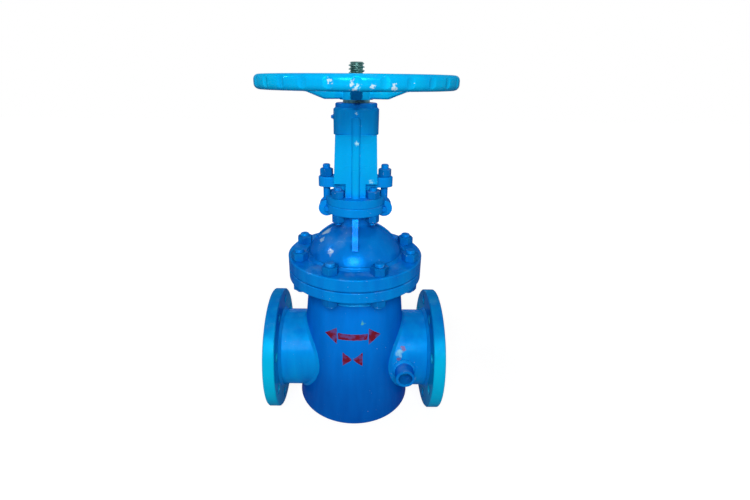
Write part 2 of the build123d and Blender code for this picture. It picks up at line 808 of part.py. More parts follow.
# Wedge: a disc between two sloping faces, with a slotted boss that hangs on the head of the stem.
slot_w = stem_d + 2 * slot_neck_clearance
head_top = wedge_top_z - stem_neck_h
head_bottom = head_top - stem_head_t
with BuildPart() as wedge:
    with BuildSketch(stem_plane):
        with BuildLine():
            Polyline(
                (-wedge_t / 2 + wedge_r * wedge_slope, -wedge_r),
                (wedge_t / 2 - wedge_r * wedge_slope, -wedge_r),
                (wedge_t / 2 + wedge_r * wedge_slope, wedge_r),
                (-wedge_t / 2 - wedge_r * wedge_slope, wedge_r),
                close=True,
            )
        make_face()
    extrude(amount=wedge_r, both=True)
    with BuildSketch(along_flow(stem_x)):
        Circle(wedge_r)
    extrude(amount=wedge_t, both=True, mode=Mode.INTERSECT)
    with BuildSketch(level(wedge_boss_z)):
        RectangleRounded(wedge_t, wedge_boss_d, wedge_boss_round)
    extrude(amount=wedge_top_z - wedge_boss_z)
    with BuildSketch(stem_plane):
        with Locations((0, (head_bottom - stem_head_gap + head_top) / 2)):
            Rectangle(2 * wedge_t, stem_head_t + stem_head_gap)
    extrude(amount=stem_head_d / 2 + slot_neck_clearance, both=True, mode=Mode.SUBTRACT)
    with BuildSketch(stem_plane):
        with Locations((0, wedge_top_z - stem_neck_h / 2)):
            Rectangle(2 * wedge_t, stem_neck_h)
    extrude(amount=slot_w / 2, both=True, mode=Mode.SUBTRACT)
save(wedge, "wedge")

# Stem: a plain shaft whose head hangs in the slot of the wedge.
with BuildPart() as stem:
    with BuildSketch(level(head_bottom)):
        Circle(stem_head_d / 2)
    extrude(amount=stem_head_t)
    with BuildSketch(level(head_top)):
        Circle(stem_d / 2)
    extrude(amount=stem_top_z - head_top)
    chamfer(stem.faces().sort_by(Axis.Z)[-1].edges(), stem_chamfer)
save(stem, "stem")

# Stem nut: its collar turns in the yoke head and its flatted shank carries the handwheel.
collar_z = head_z + head_shelf_t + collar_clearance
collar_top_z = head_top_z - collar_clearance
with BuildPart() as stem_nut:
    with BuildSketch(level(head_z)):
        Circle(nut_sleeve_d / 2)
    extrude(amount=hub_z - head_z)
    with BuildSketch(level(collar_z)):
        Circle(collar_d / 2)
    extrude(amount=collar_top_z - collar_z)
    with BuildSketch(level(hub_z)):
        Circle(hub_shank_d / 2)
        Rectangle(hub_shank_d, hub_shank_flat, mode=Mode.INTERSECT)
    extrude(amount=hub_h)
    with BuildSketch(level(hub_top_z)):
        Circle(hub_shank_d / 2)
    extrude(amount=lock_nut_h)
    with BuildSketch(level(head_z)):
        Circle(stem_d / 2 + thread_clearance)
    extrude(amount=lock_nut_top_z - head_z, mode=Mode.SUBTRACT)
save(stem_nut, "stem_nut")

# Handwheel: hub, dished spokes and a rounded rim with finger grips.
spoke_mid_z = hub_z + spoke_t / 2 + spoke_foot_rise
with BuildPart() as spoke:
    with BuildSketch(stem_plane):
        with BuildLine():
            Polyline(
                (0, spoke_mid_z - spoke_t / 2),
                (spoke_level_r, spoke_mid_z - spoke_t / 2),
                (spoke_bend_r, spoke_mid_z + spoke_bend_rise - spoke_t / 2),
                (rim_r, wheel_mid_z - spoke_t / 2),
                (rim_r, wheel_mid_z + spoke_t / 2),
                (spoke_bend_r, spoke_mid_z + spoke_bend_rise + spoke_t / 2),
                (spoke_level_r, spoke_mid_z + spoke_t / 2),
                (0, spoke_mid_z + spoke_t / 2),
                close=True,
            )
        make_face()
    extrude(amount=spoke_w / 2, both=True)
    long_edges = spoke.edges().filter_by(
        lambda e: abs(abs(e.center().Y) - spoke_w / 2) < match_tolerance
        and stem_x + match_tolerance < e.center().X < stem_x + rim_r - match_tolerance
    )
    fillet(long_edges, spoke_round)

with BuildPart() as handwheel:
    with BuildSketch(stem_plane):
        with Locations((rim_r, wheel_mid_z)):
            RectangleRounded(rim_w, rim_h, rim_round)
    revolve(axis=stem_axis)
    with BuildSketch(level(wheel_mid_z - rim_h)):
        with PolarLocations(wheel_d / 2 + scallop_d / 2 - scallop_depth, scallop_count):
            Circle(scallop_d / 2)
    extrude(amount=2 * rim_h, mode=Mode.SUBTRACT)
    with BuildSketch(level(hub_z)):
        Circle(hub_d / 2)
    extrude(amount=hub_h)
    for turn in range(spoke_count):
        add(spoke.part.rotate(stem_axis, -90 + turn * 360 / spoke_count))
    with BuildSketch(level(hub_z)):
        Circle(hub_shank_d / 2)
        Rectangle(hub_shank_d, hub_shank_flat, mode=Mode.INTERSECT)
    extrude(amount=hub_h, mode=Mode.SUBTRACT)
save(handwheel, "handwheel")

# Lock nut on top of the hub.
with BuildPart() as wheel_lock_nut:
    with BuildSketch(level(hub_top_z)):
        RegularPolygon(lock_nut_af / 2, 6, major_radius=False)
        Circle(hub_shank_d / 2, mode=Mode.SUBTRACT)
    extrude(amount=lock_nut_h)
    chamfer(wheel_lock_nut.faces().sort_by(Axis.Z)[-1].edges().filter_by(GeomType.LINE), lock_nut_chamfer)
save(wheel_lock_nut, "wheel_lock_nut")
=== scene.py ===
"""Looks of a jacketed gate valve: enamel, bare steel, threads, nuts, weld beads and a flow mark."""

import logging
import math
import random
from dataclasses import dataclass
from enum import Enum
from functools import cached_property, lru_cache
from typing import Any, Callable, Iterable, Optional, Sequence, Union

import bmesh
import bpy
from mathutils import Matrix, Vector


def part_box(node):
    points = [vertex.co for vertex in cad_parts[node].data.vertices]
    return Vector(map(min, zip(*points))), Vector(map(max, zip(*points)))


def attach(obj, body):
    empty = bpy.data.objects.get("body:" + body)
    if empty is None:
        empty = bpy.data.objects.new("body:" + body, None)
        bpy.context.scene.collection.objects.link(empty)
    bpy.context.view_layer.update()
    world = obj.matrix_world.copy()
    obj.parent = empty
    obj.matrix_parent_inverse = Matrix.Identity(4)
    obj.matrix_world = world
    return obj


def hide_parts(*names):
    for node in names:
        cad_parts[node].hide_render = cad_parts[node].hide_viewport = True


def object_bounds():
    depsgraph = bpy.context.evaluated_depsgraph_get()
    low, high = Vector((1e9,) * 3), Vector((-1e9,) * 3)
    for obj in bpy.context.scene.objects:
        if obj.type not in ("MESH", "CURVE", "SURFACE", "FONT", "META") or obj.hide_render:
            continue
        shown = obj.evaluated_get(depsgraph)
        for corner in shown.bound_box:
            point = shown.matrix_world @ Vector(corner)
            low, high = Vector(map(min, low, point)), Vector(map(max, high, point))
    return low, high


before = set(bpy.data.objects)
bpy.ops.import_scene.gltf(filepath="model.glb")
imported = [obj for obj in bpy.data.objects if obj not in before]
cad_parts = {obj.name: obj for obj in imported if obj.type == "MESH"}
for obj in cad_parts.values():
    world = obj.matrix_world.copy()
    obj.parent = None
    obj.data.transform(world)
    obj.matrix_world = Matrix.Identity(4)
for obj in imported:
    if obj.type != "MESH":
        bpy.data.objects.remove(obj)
cad_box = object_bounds()

log = logging.getLogger("gate_valve")

MM = 0.001
FULL_TURN = 2 * math.pi
IMAGE_SIZE = (750, 500)

Colour = tuple[float, float, float]
Point = tuple[float, float, float]


class Body(Enum):
    """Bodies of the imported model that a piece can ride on."""

    VALVE = "valve_body"
    STEM = "stem"
    WHEEL = "handwheel"


class Slot(Enum):
    """Material slots of the record."""

    PAINT = "blue_paint"
    STEM = "stem_steel"


class Hand(Enum):
    """Hand of a thread, as the sense in which it climbs."""

    RIGHT = 1
    LEFT = -1


def _on_two(operation: str, swapped: bool = False) -> Callable[["Value", "Term"], "Value"]:
    """Make an operator on two numbers.

    Args:
        operation: Name of the Math node's operation.
        swapped: Whether the other number comes first.

    Returns:
        Method that adds the node.
    """

    def operator(self: "Value", other: "Term") -> "Value":
        """Result of the operation on two numbers."""
        return self.math(operation, *((other, self) if swapped else (self, other)))

    return operator


def _on_one(operation: str) -> Callable[["Value"], "Value"]:
    """Make an operator on one number, from the name of the Math node's operation."""
    return lambda self: self.math(operation, self)


class Value:
    """A number that varies over a surface. Arithmetic on it adds Math nodes to its shader."""

    def __init__(self, shader: "Shader", socket: bpy.types.NodeSocket) -> None:
        """Wrap one output socket of a shader."""
        self.shader = shader
        self.socket = socket

    def math(self, operation: str, first: "Term", second: "Term" = 0.0) -> "Value":
        """Add one Math node.

        Args:
            operation: Name of the Math node's operation.
            first: First operand.
            second: Second operand, unused by operations on one number.

        Returns:
            The node's result.
        """
        node = self.shader.node("ShaderNodeMath", {"operation": operation}, {0: first, 1: second})
        return Value(self.shader, node.outputs[0])

    __add__ = __radd__ = _on_two("ADD")
    __sub__, __rsub__ = _on_two("SUBTRACT"), _on_two("SUBTRACT", swapped=True)
    __mul__ = __rmul__ = _on_two("MULTIPLY")
    __truediv__, __rtruediv__ = _on_two("DIVIDE"), _on_two("DIVIDE", swapped=True)
    __lt__, __gt__ = _on_two("LESS_THAN"), _on_two("GREATER_THAN")
    least, most = _on_two("MINIMUM"), _on_two("MAXIMUM")
    __abs__, sine, root = _on_one("ABSOLUTE"), _on_one("SINE"), _on_one("SQRT")

    def rise(self, low: float, high: float) -> "Value":
        """Smooth step.

        Args:
            low: Where the result leaves 0.
            high: Where the result reaches 1.

        Returns:
            A value between 0 and 1.
        """
        node = self.shader.node(
            "ShaderNodeMapRange",
            {"interpolation_type": "SMOOTHSTEP"},
            {"Value": self, "From Min": low, "From Max": high, "To Min": 0.0, "To Max": 1.0},
        )
        return Value(self.shader, node.outputs[0])


Term = Union[Value, float]
Feed = Union[Value, bpy.types.NodeSocket, float, Sequence[float]]


class Shader:
    """Nodes of one material, or of the world."""

    MIX_FACTOR, MIX_A, MIX_B, MIX_RESULT = 0, 6, 7, 2

    def __init__(self, owner: Union[bpy.types.Material, bpy.types.World]) -> None:
        """Clear the nodes of a material or world, to build them anew.

        Args:
            owner: Material or world that the nodes belong to.
        """
        owner.use_nodes = True
        self.owner = owner
        self.tree = owner.node_tree
        self.tree.nodes.clear()

    @classmethod
    def named(cls, name: str) -> "Shader":
        """Start a new material of this name."""
        return cls(bpy.data.materials.new(name))

    @cached_property
    def place(self) -> bpy.types.NodeSocket:
        """Place of the surface point in its object's own frame."""
        return self.node("ShaderNodeTexCoord").outputs["Object"]

    def node(
        self,
        kind: str,
        settings: Optional[dict[str, Any]] = None,
        sockets: Optional[dict[Union[int, str], Feed]] = None,
    ) -> bpy.types.Node:
        """Add one node.

        Args:
            kind: Type name of the node.
            settings: Properties of the node, which are set first.
            sockets: Values or links of its inputs, by name or number.

        Returns:
            The new node.
        """
        node = self.tree.nodes.new(kind)
        for name, value in (settings or {}).items():
            setattr(node, name, value)
        for key, value in (sockets or {}).items():
            if isinstance(value, Value):
                value = value.socket
            if isinstance(value, bpy.types.NodeSocket):
                self.tree.links.new(value, node.inputs[key])
            elif isinstance(value, (int, float)):
                node.inputs[key].default_value = value
            else:
                size = len(node.inputs[key].default_value)
                node.inputs[key].default_value = (*value, 1.0)[:size]
        return node

    def axes(self) -> tuple[Value, Value, Value]:
        """Place of the surface point along X, Y and Z, in metres."""
        parts = self.node("ShaderNodeSeparateXYZ", sockets={0: self.place}).outputs
        return Value(self, parts[0]), Value(self, parts[1]), Value(self, parts[2])

    def noise(
        self, per_metre: float, stretch: Point = (1, 1, 1), detail: float = 2.0, seed: float = 0.0
    ) -> Value:
        """Fractal noise about 0.5.

        Args:
            per_metre: Lumps in a metre.
            stretch: Factor on each axis, below 1 for streaks along it.
            detail: Octaves.
            seed: Offset that gives another pattern.

        Returns:
            The noise.
        """
        scale = tuple(per_metre * s for s in stretch)
        mapped = self.node(
            "ShaderNodeMapping", sockets={"Vector": self.place, "Location": (seed,) * 3, "Scale": scale}
        )
        sockets = {"Vector": mapped.outputs[0], "Scale": 1.0, "Detail": detail}
        return Value(self, self.node("ShaderNodeTexNoise", sockets=sockets).outputs[0])

    def mix(self, factor: Term, first: Feed, second: Feed) -> bpy.types.NodeSocket:
        """Mix two colours.

        Args:
            factor: Share of the second colour.
            first: Colour at 0.
            second: Colour at 1.

        Returns:
            Socket of the mixed colour.
        """
        sockets = {self.MIX_FACTOR: factor, self.MIX_A: first, self.MIX_B: second}
        return self.node("ShaderNodeMix", {"data_type": "RGBA"}, sockets).outputs[self.MIX_RESULT]

    def bump(
        self, height: Value, depth: float, normal: Optional[bpy.types.NodeSocket] = None
    ) -> bpy.types.NodeSocket:
        """Relief that is seen in the shading.

        Args:
            height: Relief between 0 and 1.
            depth: Real depth of the relief, in metres.
            normal: Normal that the relief is laid on.

        Returns:
            Socket of the new normal.
        """
        sockets: dict[Union[int, str], Feed] = {"Height": height, "Distance": depth, "Strength": 1.0}
        if normal is not None:
            sockets["Normal"] = normal
        return self.node("ShaderNodeBump", sockets=sockets).outputs[0]

    def finish(self, surface: bpy.types.NodeSocket) -> bpy.types.Material:
        """Close the material with this surface shader."""
        self.node("ShaderNodeOutputMaterial", sockets={"Surface": surface})
        return self.owner


class Edges:
    """Rounded look and mask of the edges of a piece."""

    def __init__(self, shader: Shader, radius: float, samples: int = 6) -> None:
        """Round the edges of a shader's piece in its shading.

        Args:
            shader: Shader of the piece.
            radius: Radius of the rounding, in metres.
            samples: Rays for each look-up.
        """
        bevel = shader.node("ShaderNodeBevel", {"samples": samples}, {"Radius": radius})
        self.normal = bevel.outputs[0]
        flat = shader.node("ShaderNodeNewGeometry").outputs["Normal"]
        self.up = Value(shader, shader.node("ShaderNodeSeparateXYZ", sockets={0: flat}).outputs[2])
        normals = {0: self.normal, 1: flat}
        dot = shader.node("ShaderNodeVectorMath", {"operation": "DOT_PRODUCT"}, normals)
        self.mask = (1 - Value(shader, dot.outputs["Value"])).rise(0.02, 0.25)


@dataclass(frozen=True)
class FlowMark:
    """Red stencilled two-way arrow above a plain gate sign, sprayed on the front of the jacket."""

    centre_x: float = 153.5 * MM
    arrow_z: float = 80.0 * MM
    half_length: float = 47.0 * MM
    head_length: float = 21.0 * MM
    head_half_h: float = 15.5 * MM
    shaft_half_h: float = 5.6 * MM
    sign_z: float = 38.0 * MM
    sign_half_w: float = 17.0 * MM
    sign_half_h: float = 13.0 * MM
    bridge: float = 1.6 * MM
    wobble: float = 1.6 * MM
    least_cover: float = 0.72
    colour: Colour = (0.19, 0.004, 0.006)

    def mask(self, shader: Shader) -> Value:
        """Where the red paint lies.

        Args:
            shader: Shader of the jacket.

        Returns:
            1 on the mark, with worn edges.
        """
        x, y, z = shader.axes()
        along = abs(x - self.centre_x + (shader.noise(260, seed=3.1) - 0.5) * self.wobble)
        height = z + (shader.noise(240, seed=7.7) - 0.5) * self.wobble
        off_arrow = abs(height - self.arrow_z)
        root = self.half_length - self.head_length
        slope = self.head_half_h / self.head_length
        head = (off_arrow < (self.half_length - along) * slope) * (along > root + self.bridge / 2)
        shaft = (off_arrow < self.shaft_half_h) * (along < root - self.bridge / 2)
        sign_slope = self.sign_half_h / self.sign_half_w
        sign = (abs(height - self.sign_z) < along * sign_slope) * (along < self.sign_half_w)
        sign = sign * (along > self.bridge)
        cover = shader.noise(90, detail=5, seed=1.4).rise(0.38, 0.55) * (1 - self.least_cover)
        return (head + shaft + sign).least(1.0) * (y < 0.0) * (cover + self.least_cover)


@dataclass(frozen=True)
class ColourPatch:
    """Patch of another colour on the paint, used for scuffs and stains and also for painted highlights
    and painted shade. Its centre and radius are in millimetres.
    """

    centre: Point
    radius: float
    colour: Colour
    strength: float = 0.8
    ragged: float = 2.2

    def mask(self, shader: Shader) -> Value:
        """How much of the patch's colour shows.

        Args:
            shader: Shader of the painted piece.

        Returns:
            A value between 0 and the patch's strength.
        """
        x, y, z = (axis - middle * MM for axis, middle in zip(shader.axes(), self.centre))
        radius = self.radius * MM
        away = (x * x + y * y + z * z).root() / radius
        grain = shader.noise(1.4 / radius, detail=4, seed=radius * 900)
        return (1 - (away + (grain - 0.5) * self.ragged).rise(0.35, 0.85)) * self.strength


@dataclass(frozen=True)
class Enamel:
    """Thick glossy blue enamel, brushed or sprayed over a cast or rolled surface.

    The painted light stops give shares of the light colour at heights in millimetres: painted light and
    shade that change with height.
    """

    name: str
    seed: float
    deep: Colour = (0.0004, 0.15, 0.60)
    light: Colour = (0.0008, 0.28, 0.78)
    grain_per_metre: float = 170.0
    grain_depth: float = 0.25 * MM
    run_depth: float = 0.35 * MM
    dust_and_glint: float = 0.3
    chips: float = 0.5
    round_edge: float = 1.1 * MM
    roughness: float = 0.2
    sheen_share: float = 0.14
    coat: float = 0.03
    coat_roughness: float = 0.12
    peel_depth: float = 0.035 * MM
    painted_light_share: float = 0.65
    mark_cover: float = 0.97
    dust_and_glint_colour: Colour = (0.30, 0.55, 0.72)
    bare_colour: Colour = (0.62, 0.74, 0.80)
    painted_light_fade: tuple[tuple[float, float], ...] = ()
    mark: Optional[FlowMark] = None
    colour_patches: tuple[ColourPatch, ...] = ()

    def material(self) -> bpy.types.Material:
        """Build the painted surface."""
        shader = Shader.named(self.name)
        return shader.finish(self.surface(shader))

    def surface(self, shader: Shader) -> bpy.types.NodeSocket:
        """Nodes of the paint.

        Args:
            shader: Shader that the nodes go into.

        Returns:
            Socket of the surface shader.
        """
        edges = Edges(shader, self.round_edge)
        cloud = shader.noise(9.0, detail=3, seed=self.seed)
        brush = shader.noise(70.0, (1, 1, 0.16), detail=3, seed=self.seed + 2)
        grain = shader.noise(self.grain_per_metre, detail=3, seed=self.seed + 4)
        peel = shader.noise(900.0, detail=1, seed=self.seed + 5)
        # Random tone from cloud and brush strokes, plus a painted highlight along the rounded edges
        # from the edge mask.
        tone = (cloud * 0.65 + brush * 0.5 + edges.mask * 0.25).rise(0.3, 0.9)
        # Painted light and shade by height: the stops make a part lighter where more light falls on it
        # and darker where less does.
        if self.painted_light_fade:
            tone = tone * (1 - self.painted_light_share) + self._painted_light_at(shader.axes()[2]) * self.painted_light_share
        colour = shader.mix(tone, self.deep, self.light)
        red: Term = 0.0
        if self.mark is not None:
            red = self.mark.mask(shader)
            colour = shader.mix(red * self.mark_cover, colour, self.mark.colour)
        film = shader.noise(34.0, detail=5, seed=self.seed + 8)
        speck = shader.noise(420.0, detail=2, seed=self.seed + 9)
        # Pale dust settles on up-facing faces; the pale specks are partly scuffs and partly painted
        # glints.
        settled = edges.up.rise(0.35, 0.9) * film.rise(0.5, 0.72) * self.dust_and_glint
        scuff_and_glint = film.rise(0.69, 0.76) * speck.rise(0.5, 0.66) * self.dust_and_glint
        colour = shader.mix((settled * 0.3 + scuff_and_glint * 0.7).least(1.0), colour, self.dust_and_glint_colour)
        # Colour patches: stains and scuffs, and also painted highlights and painted shade.
        for colour_patch in self.colour_patches:
            colour = shader.mix(colour_patch.mask(shader), colour, colour_patch.colour)
        chip = speck.rise(0.735, 0.75) * film.rise(0.5, 0.62) * self.chips
        worn_edge = edges.mask * shader.noise(120.0, detail=4, seed=self.seed + 11).rise(0.62, 0.7)
        bare = (chip + worn_edge * self.chips).least(1.0)
        colour = shader.mix(bare, colour, self.bare_colour)
        matt = settled * 0.3 + scuff_and_glint * 0.3 + bare * 0.3 + red * 0.25
        relief = shader.bump(grain, self.grain_depth, edges.normal)
        relief = shader.bump(brush, self.run_depth, relief)
        relief = shader.bump(peel + (1 - bare) * 1.5, self.peel_depth, relief)
        sockets = {
            "Base Color": colour,
            "Roughness": self.roughness + cloud * 0.14 + matt,
            "Normal": relief,
            "Metallic": self.sheen_share,
            "Specular IOR Level": 0.0,
            "Specular Tint": self.light,
            "Coat Weight": self.coat,
            "Coat Roughness": self.coat_roughness,
        }
        return shader.node("ShaderNodeBsdfPrincipled", sockets=sockets).outputs[0]

    def _painted_light_at(self, height: Value) -> Value:
        """Painted light and shade at a height, between the painted light stops.

        Args:
            height: Height of the surface point, in metres.

        Returns:
            0 for the deep colour, 1 for the light one.
        """
        tone: Term = self.painted_light_fade[0][1]
        for (low, start), (high, end) in zip(self.painted_light_fade, self.painted_light_fade[1:]):
            tone = tone + height.rise(low * MM, high * MM) * (end - start)
        return tone


class Lay(Enum):
    """Direction of the tool marks on machined steel."""

    ROUND_STEM = "rings about the stem"
    ROUND_BORE = "rings about the bore"


@dataclass(frozen=True)
class Steel:
    """Machined steel with tool marks, oil and stains."""

    name: str
    seed: float
    bright: Colour = (0.40, 0.41, 0.40)
    stained: Colour = (0.16, 0.13, 0.10)
    roughness: float = 0.3
    lay: Lay = Lay.ROUND_STEM
    marks_per_metre: float = 2500.0
    mark_depth: float = 0.02 * MM
    smear_depth: float = 0.03 * MM
    round_edge: float = 0.5 * MM
    metallic: float = 0.9

    def material(self) -> bpy.types.Material:
        """Build the steel surface."""
        shader = Shader.named(self.name)
        return shader.finish(self.surface(shader))

    def surface(self, shader: Shader) -> bpy.types.NodeSocket:
        """Nodes of the steel.

        Args:
            shader: Shader that the nodes go into.

        Returns:
            Socket of the surface shader.
        """
        x, y, z = shader.axes()
        edges = Edges(shader, self.round_edge, samples=4)
        across = (y * y + z * z).root() if self.lay is Lay.ROUND_BORE else z
        marks = (across * (self.marks_per_metre * FULL_TURN)).sine() * 0.5 + 0.5
        stain = shader.noise(60.0, detail=5, seed=self.seed)
        colour_patch = shader.noise(300.0, detail=3, seed=self.seed + 3)
        dirty = (stain * 0.7 + colour_patch * 0.3).rise(0.42, 0.66)
        colour = shader.mix(dirty * (1 - edges.mask * 0.7), self.bright, self.stained)
        relief = shader.bump(marks, self.mark_depth, edges.normal)
        relief = shader.bump(colour_patch, self.smear_depth, relief)
        sockets = {
            "Base Color": colour,
            "Metallic": self.metallic,
            "Roughness": self.roughness + dirty * 0.25 + colour_patch * 0.08,
            "Normal": relief,
        }
        return shader.node("ShaderNodeBsdfPrincipled", sockets=sockets).outputs[0]


@dataclass(frozen=True)
class FlangeFinish:
    """Painted pipe flange whose raised face and bore edge stay bare steel with a fine spiral."""

    paint: Enamel
    steel: Steel
    face_x: float
    face_depth: float = 0.6 * MM
    face_r: float = 79.5 * MM
    paint_wander: float = 3 * MM

    def material(self) -> bpy.types.Material:
        """Build the flange's surface, paint and bare face in one.

        Returns:
            The material.
        """
        shader = Shader.named(f"{self.paint.name}_flange")
        x, y, z = shader.axes()
        radius = (y * y + z * z).root()
        ragged = (shader.noise(150.0, detail=3) - 0.5) * self.paint_wander
        bare = (abs(x - self.face_x) < self.face_depth) * (radius + ragged < self.face_r)
        sockets = {0: bare, 1: self.paint.surface(shader), 2: self.steel.surface(shader)}
        return shader.finish(shader.node("ShaderNodeMixShader", sockets=sockets).outputs[0])


@dataclass(frozen=True)
class Graphite:
    """Dark graphite sheet or braided packing."""

    name: str = "graphite"
    colour: Colour = (0.035, 0.035, 0.04)
    worn: Colour = (0.10, 0.10, 0.11)
    fibre_depth: float = 0.1 * MM

    def material(self) -> bpy.types.Material:
        """Build the matt dark surface.

        Returns:
            The material.
        """
        shader = Shader.named(self.name)
        fibre = shader.noise(700.0, (1, 1, 3), detail=3)
        colour = shader.mix(fibre.rise(0.45, 0.7), self.colour, self.worn)
        sockets = {
            "Base Color": colour,
            "Roughness": 0.55 + fibre * 0.2,
            "Normal": shader.bump(fibre, self.fibre_depth),
        }
        return shader.finish(shader.node("ShaderNodeBsdfPrincipled", sockets=sockets).outputs[0])


Finish = Union[Enamel, Steel, FlangeFinish, Graphite]


@lru_cache(maxsize=None)
def material_of(finish: Finish) -> bpy.types.Material:
    """Material of a finish, built once.

    Args:
        finish: Finish to build.

    Returns:
        Its material.
    """
    return finish.material()


WHITE_FLECK: Colour = (0.70, 0.85, 0.92)
PAINTED_HIGHLIGHT_CYAN: Colour = (0.50, 0.85, 0.92)
RIB_SHADE: Colour = (0.0004, 0.09, 0.42)

FORGED = Enamel(
    "forged_enamel", seed=11.0, grain_depth=0.12 * MM, run_depth=0.2 * MM, dust_and_glint=0.5, chips=1.0
)
# Lighter copy of the blue enamel, for the brighter light on the flange rims; its painted light stops
# make the rims darker towards their top and bottom, as painted shade.
PIPE_FLANGE_PAINT = Enamel(
    "pipe_flange_enamel",
    seed=17.0,
    deep=(0.0006, 0.13, 0.54),
    light=(0.0012, 0.52, 0.80),
    grain_depth=0.12 * MM,
    run_depth=0.2 * MM,
    dust_and_glint=0.25,
    roughness=0.3,
    painted_light_fade=((-105, 0.1), (-20, 1.0), (25, 1.0), (100, 0.1)),
)
CAST = Enamel(
    "cast_enamel",
    seed=23.0,
    deep=(0.0004, 0.11, 0.50),
    light=(0.0010, 0.28, 0.78),
    grain_per_metre=120.0,
    grain_depth=0.5 * MM,
    roughness=0.24,
    sheen_share=0.24,
    # Painted light stops: lighter at the dome's foot as a painted sheen, darker over the dome, and
    # lighter on the neck and top flange, in step with the yoke above.
    painted_light_fade=((195, 0.5), (215, 0.3), (262, 0.3), (282, 1.0)),
    # The first two patches are scuffs with a painted highlight on them, the third is a painted
    # highlight streak on the dome, and the two RIB_SHADE patches are painted shade on the front rib and
    # the dome beside it.
    colour_patches=(
        ColourPatch((107, -14, 240), 13, (0.45, 0.62, 0.72)),
        ColourPatch((101, -28, 232), 7, (0.40, 0.60, 0.72), 0.7),
        ColourPatch((117, -59, 221), 8, (0.55, 0.68, 0.76), 0.7),
        ColourPatch((156, -49, 252), 16, RIB_SHADE, 0.8, 0.4),
        ColourPatch((156, -61, 232), 14, RIB_SHADE, 0.8, 0.4),
    ),
)
# Lighter copy of the blue enamel, for the brighter light on the yoke. The cyan patches are painted
# highlights on the head, the rib and a leg's foot, and the painted light stops make the legs lighter
# than the flange and the head.
YOKE_PAINT = Enamel(
    "yoke_enamel",
    seed=29.0,
    deep=(0.0006, 0.17, 0.64),
    light=(0.0012, 0.42, 0.86),
    grain_per_metre=120.0,
    grain_depth=0.45 * MM,
    dust_and_glint=0.4,
    colour_patches=(
        ColourPatch((157, -35, 442), 4, PAINTED_HIGHLIGHT_CYAN, 0.7, 3.5),
        ColourPatch((156, -35, 431), 3, PAINTED_HIGHLIGHT_CYAN, 0.7, 3.5),
        ColourPatch((157, -40, 389), 4, PAINTED_HIGHLIGHT_CYAN, 0.8, 3.0),
        ColourPatch((181, -30, 329), 4, (0.40, 0.80, 0.92), 0.6, 3.5),
    ),
    painted_light_fade=((300, 0.3), (312, 1.0), (396, 1.0), (401, 0.6), (440, 0.45)),
)
ROLLED = Enamel(
    "rolled_enamel",
    seed=37.0,
    deep=(0.0005, 0.18, 0.62),
    light=(0.001, 0.33, 0.78),
    grain_depth=0.12 * MM,
    dust_and_glint=0.15,
    roughness=0.42,
    colour_patches=(
        ColourPatch((242, -59, 38), 7, (0.30, 0.05, 0.06), 0.6),
        ColourPatch((236, -63, 31), 8, (0.30, 0.62, 0.70), 0.6),
        ColourPatch((235, -67, 21), 5, (0.24, 0.03, 0.04), 0.6),
        ColourPatch((231, -69, 12), 6, (0.25, 0.55, 0.62), 0.5),
    ),
)
# Its painted light stops are painted shade: darker towards the bottom of the jacket and again just
# under the body flange.
MARKED = Enamel(
    "marked_enamel",
    seed=37.0,
    deep=(0.0003, 0.075, 0.40),
    light=(0.0008, 0.21, 0.78),
    grain_depth=0.12 * MM,
    dust_and_glint=0.12,
    roughness=0.34,
    painted_light_fade=((-100, 0.0), (112, 1.0), (137, 0.5)),
    mark=FlowMark(),
    colour_patches=(ColourPatch((170, -84, 106), 5, (0.12, 0.52, 0.36), 0.7),),
)
# Lighter copy of the blue enamel, for the brighter light on the wheel rim.
WHEEL_PAINT = Enamel(
    "wheel_enamel",
    seed=51.0,
    deep=(0.001, 0.36, 0.80),
    light=(0.0015, 0.54, 0.90),
    grain_depth=0.3 * MM,
    dust_and_glint=0.15,
    chips=1.0,
    round_edge=1.6 * MM,
    colour_patches=(
        ColourPatch((124, -146, 474), 4, WHITE_FLECK, ragged=4.0),
        ColourPatch((154, -149, 467), 6, WHITE_FLECK, ragged=4.0),
        ColourPatch((175, -148, 468), 4, WHITE_FLECK, ragged=4.0),
        ColourPatch((199, -143, 466), 5, WHITE_FLECK, ragged=4.0),
    ),
)
# Lighter than the enamel around it, partly as a painted highlight along the weld lines.
WELD_PAINT = Enamel(
    "weld_enamel",
    seed=63.0,
    deep=(0.0006, 0.20, 0.66),
    light=(0.001, 0.36, 0.84),
    grain_per_metre=420.0,
    grain_depth=0.25 * MM,
    dust_and_glint=0.2,
    coat=0.15,
)
# Many pale specks on the nuts, partly scuffs and partly painted glints.
NUT_PAINT = Enamel(
    "nut_enamel",
    seed=71.0,
    deep=(0.0003, 0.09, 0.40),
    light=(0.0006, 0.22, 0.62),
    grain_depth=0.2 * MM,
    dust_and_glint=0.9,
    chips=1.0,
)
SEAT_STEEL = Steel("seat_steel", seed=5.0, lay=Lay.ROUND_BORE)
FACE_STEEL = Steel(
    "face_steel", seed=9.0, lay=Lay.ROUND_BORE, marks_per_metre=900.0, mark_depth=0.12 * MM
)
STEM_STEEL = Steel(
    "stem_steel", seed=15.0, bright=(0.15, 0.32, 0.30), stained=(0.02, 0.07, 0.07), roughness=0.2
)
NUT_STEEL = Steel(
    "nut_steel", seed=19.0, bright=(0.06, 0.19, 0.22), stained=(0.01, 0.05, 0.08), roughness=0.28
)
GRAPHITE = Graphite()


@lru_cache(maxsize=None)
def box_of(node: str) -> tuple[Vector, Vector]:
    """Lowest and highest corner of a CAD node, looked up once."""
    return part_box(node)


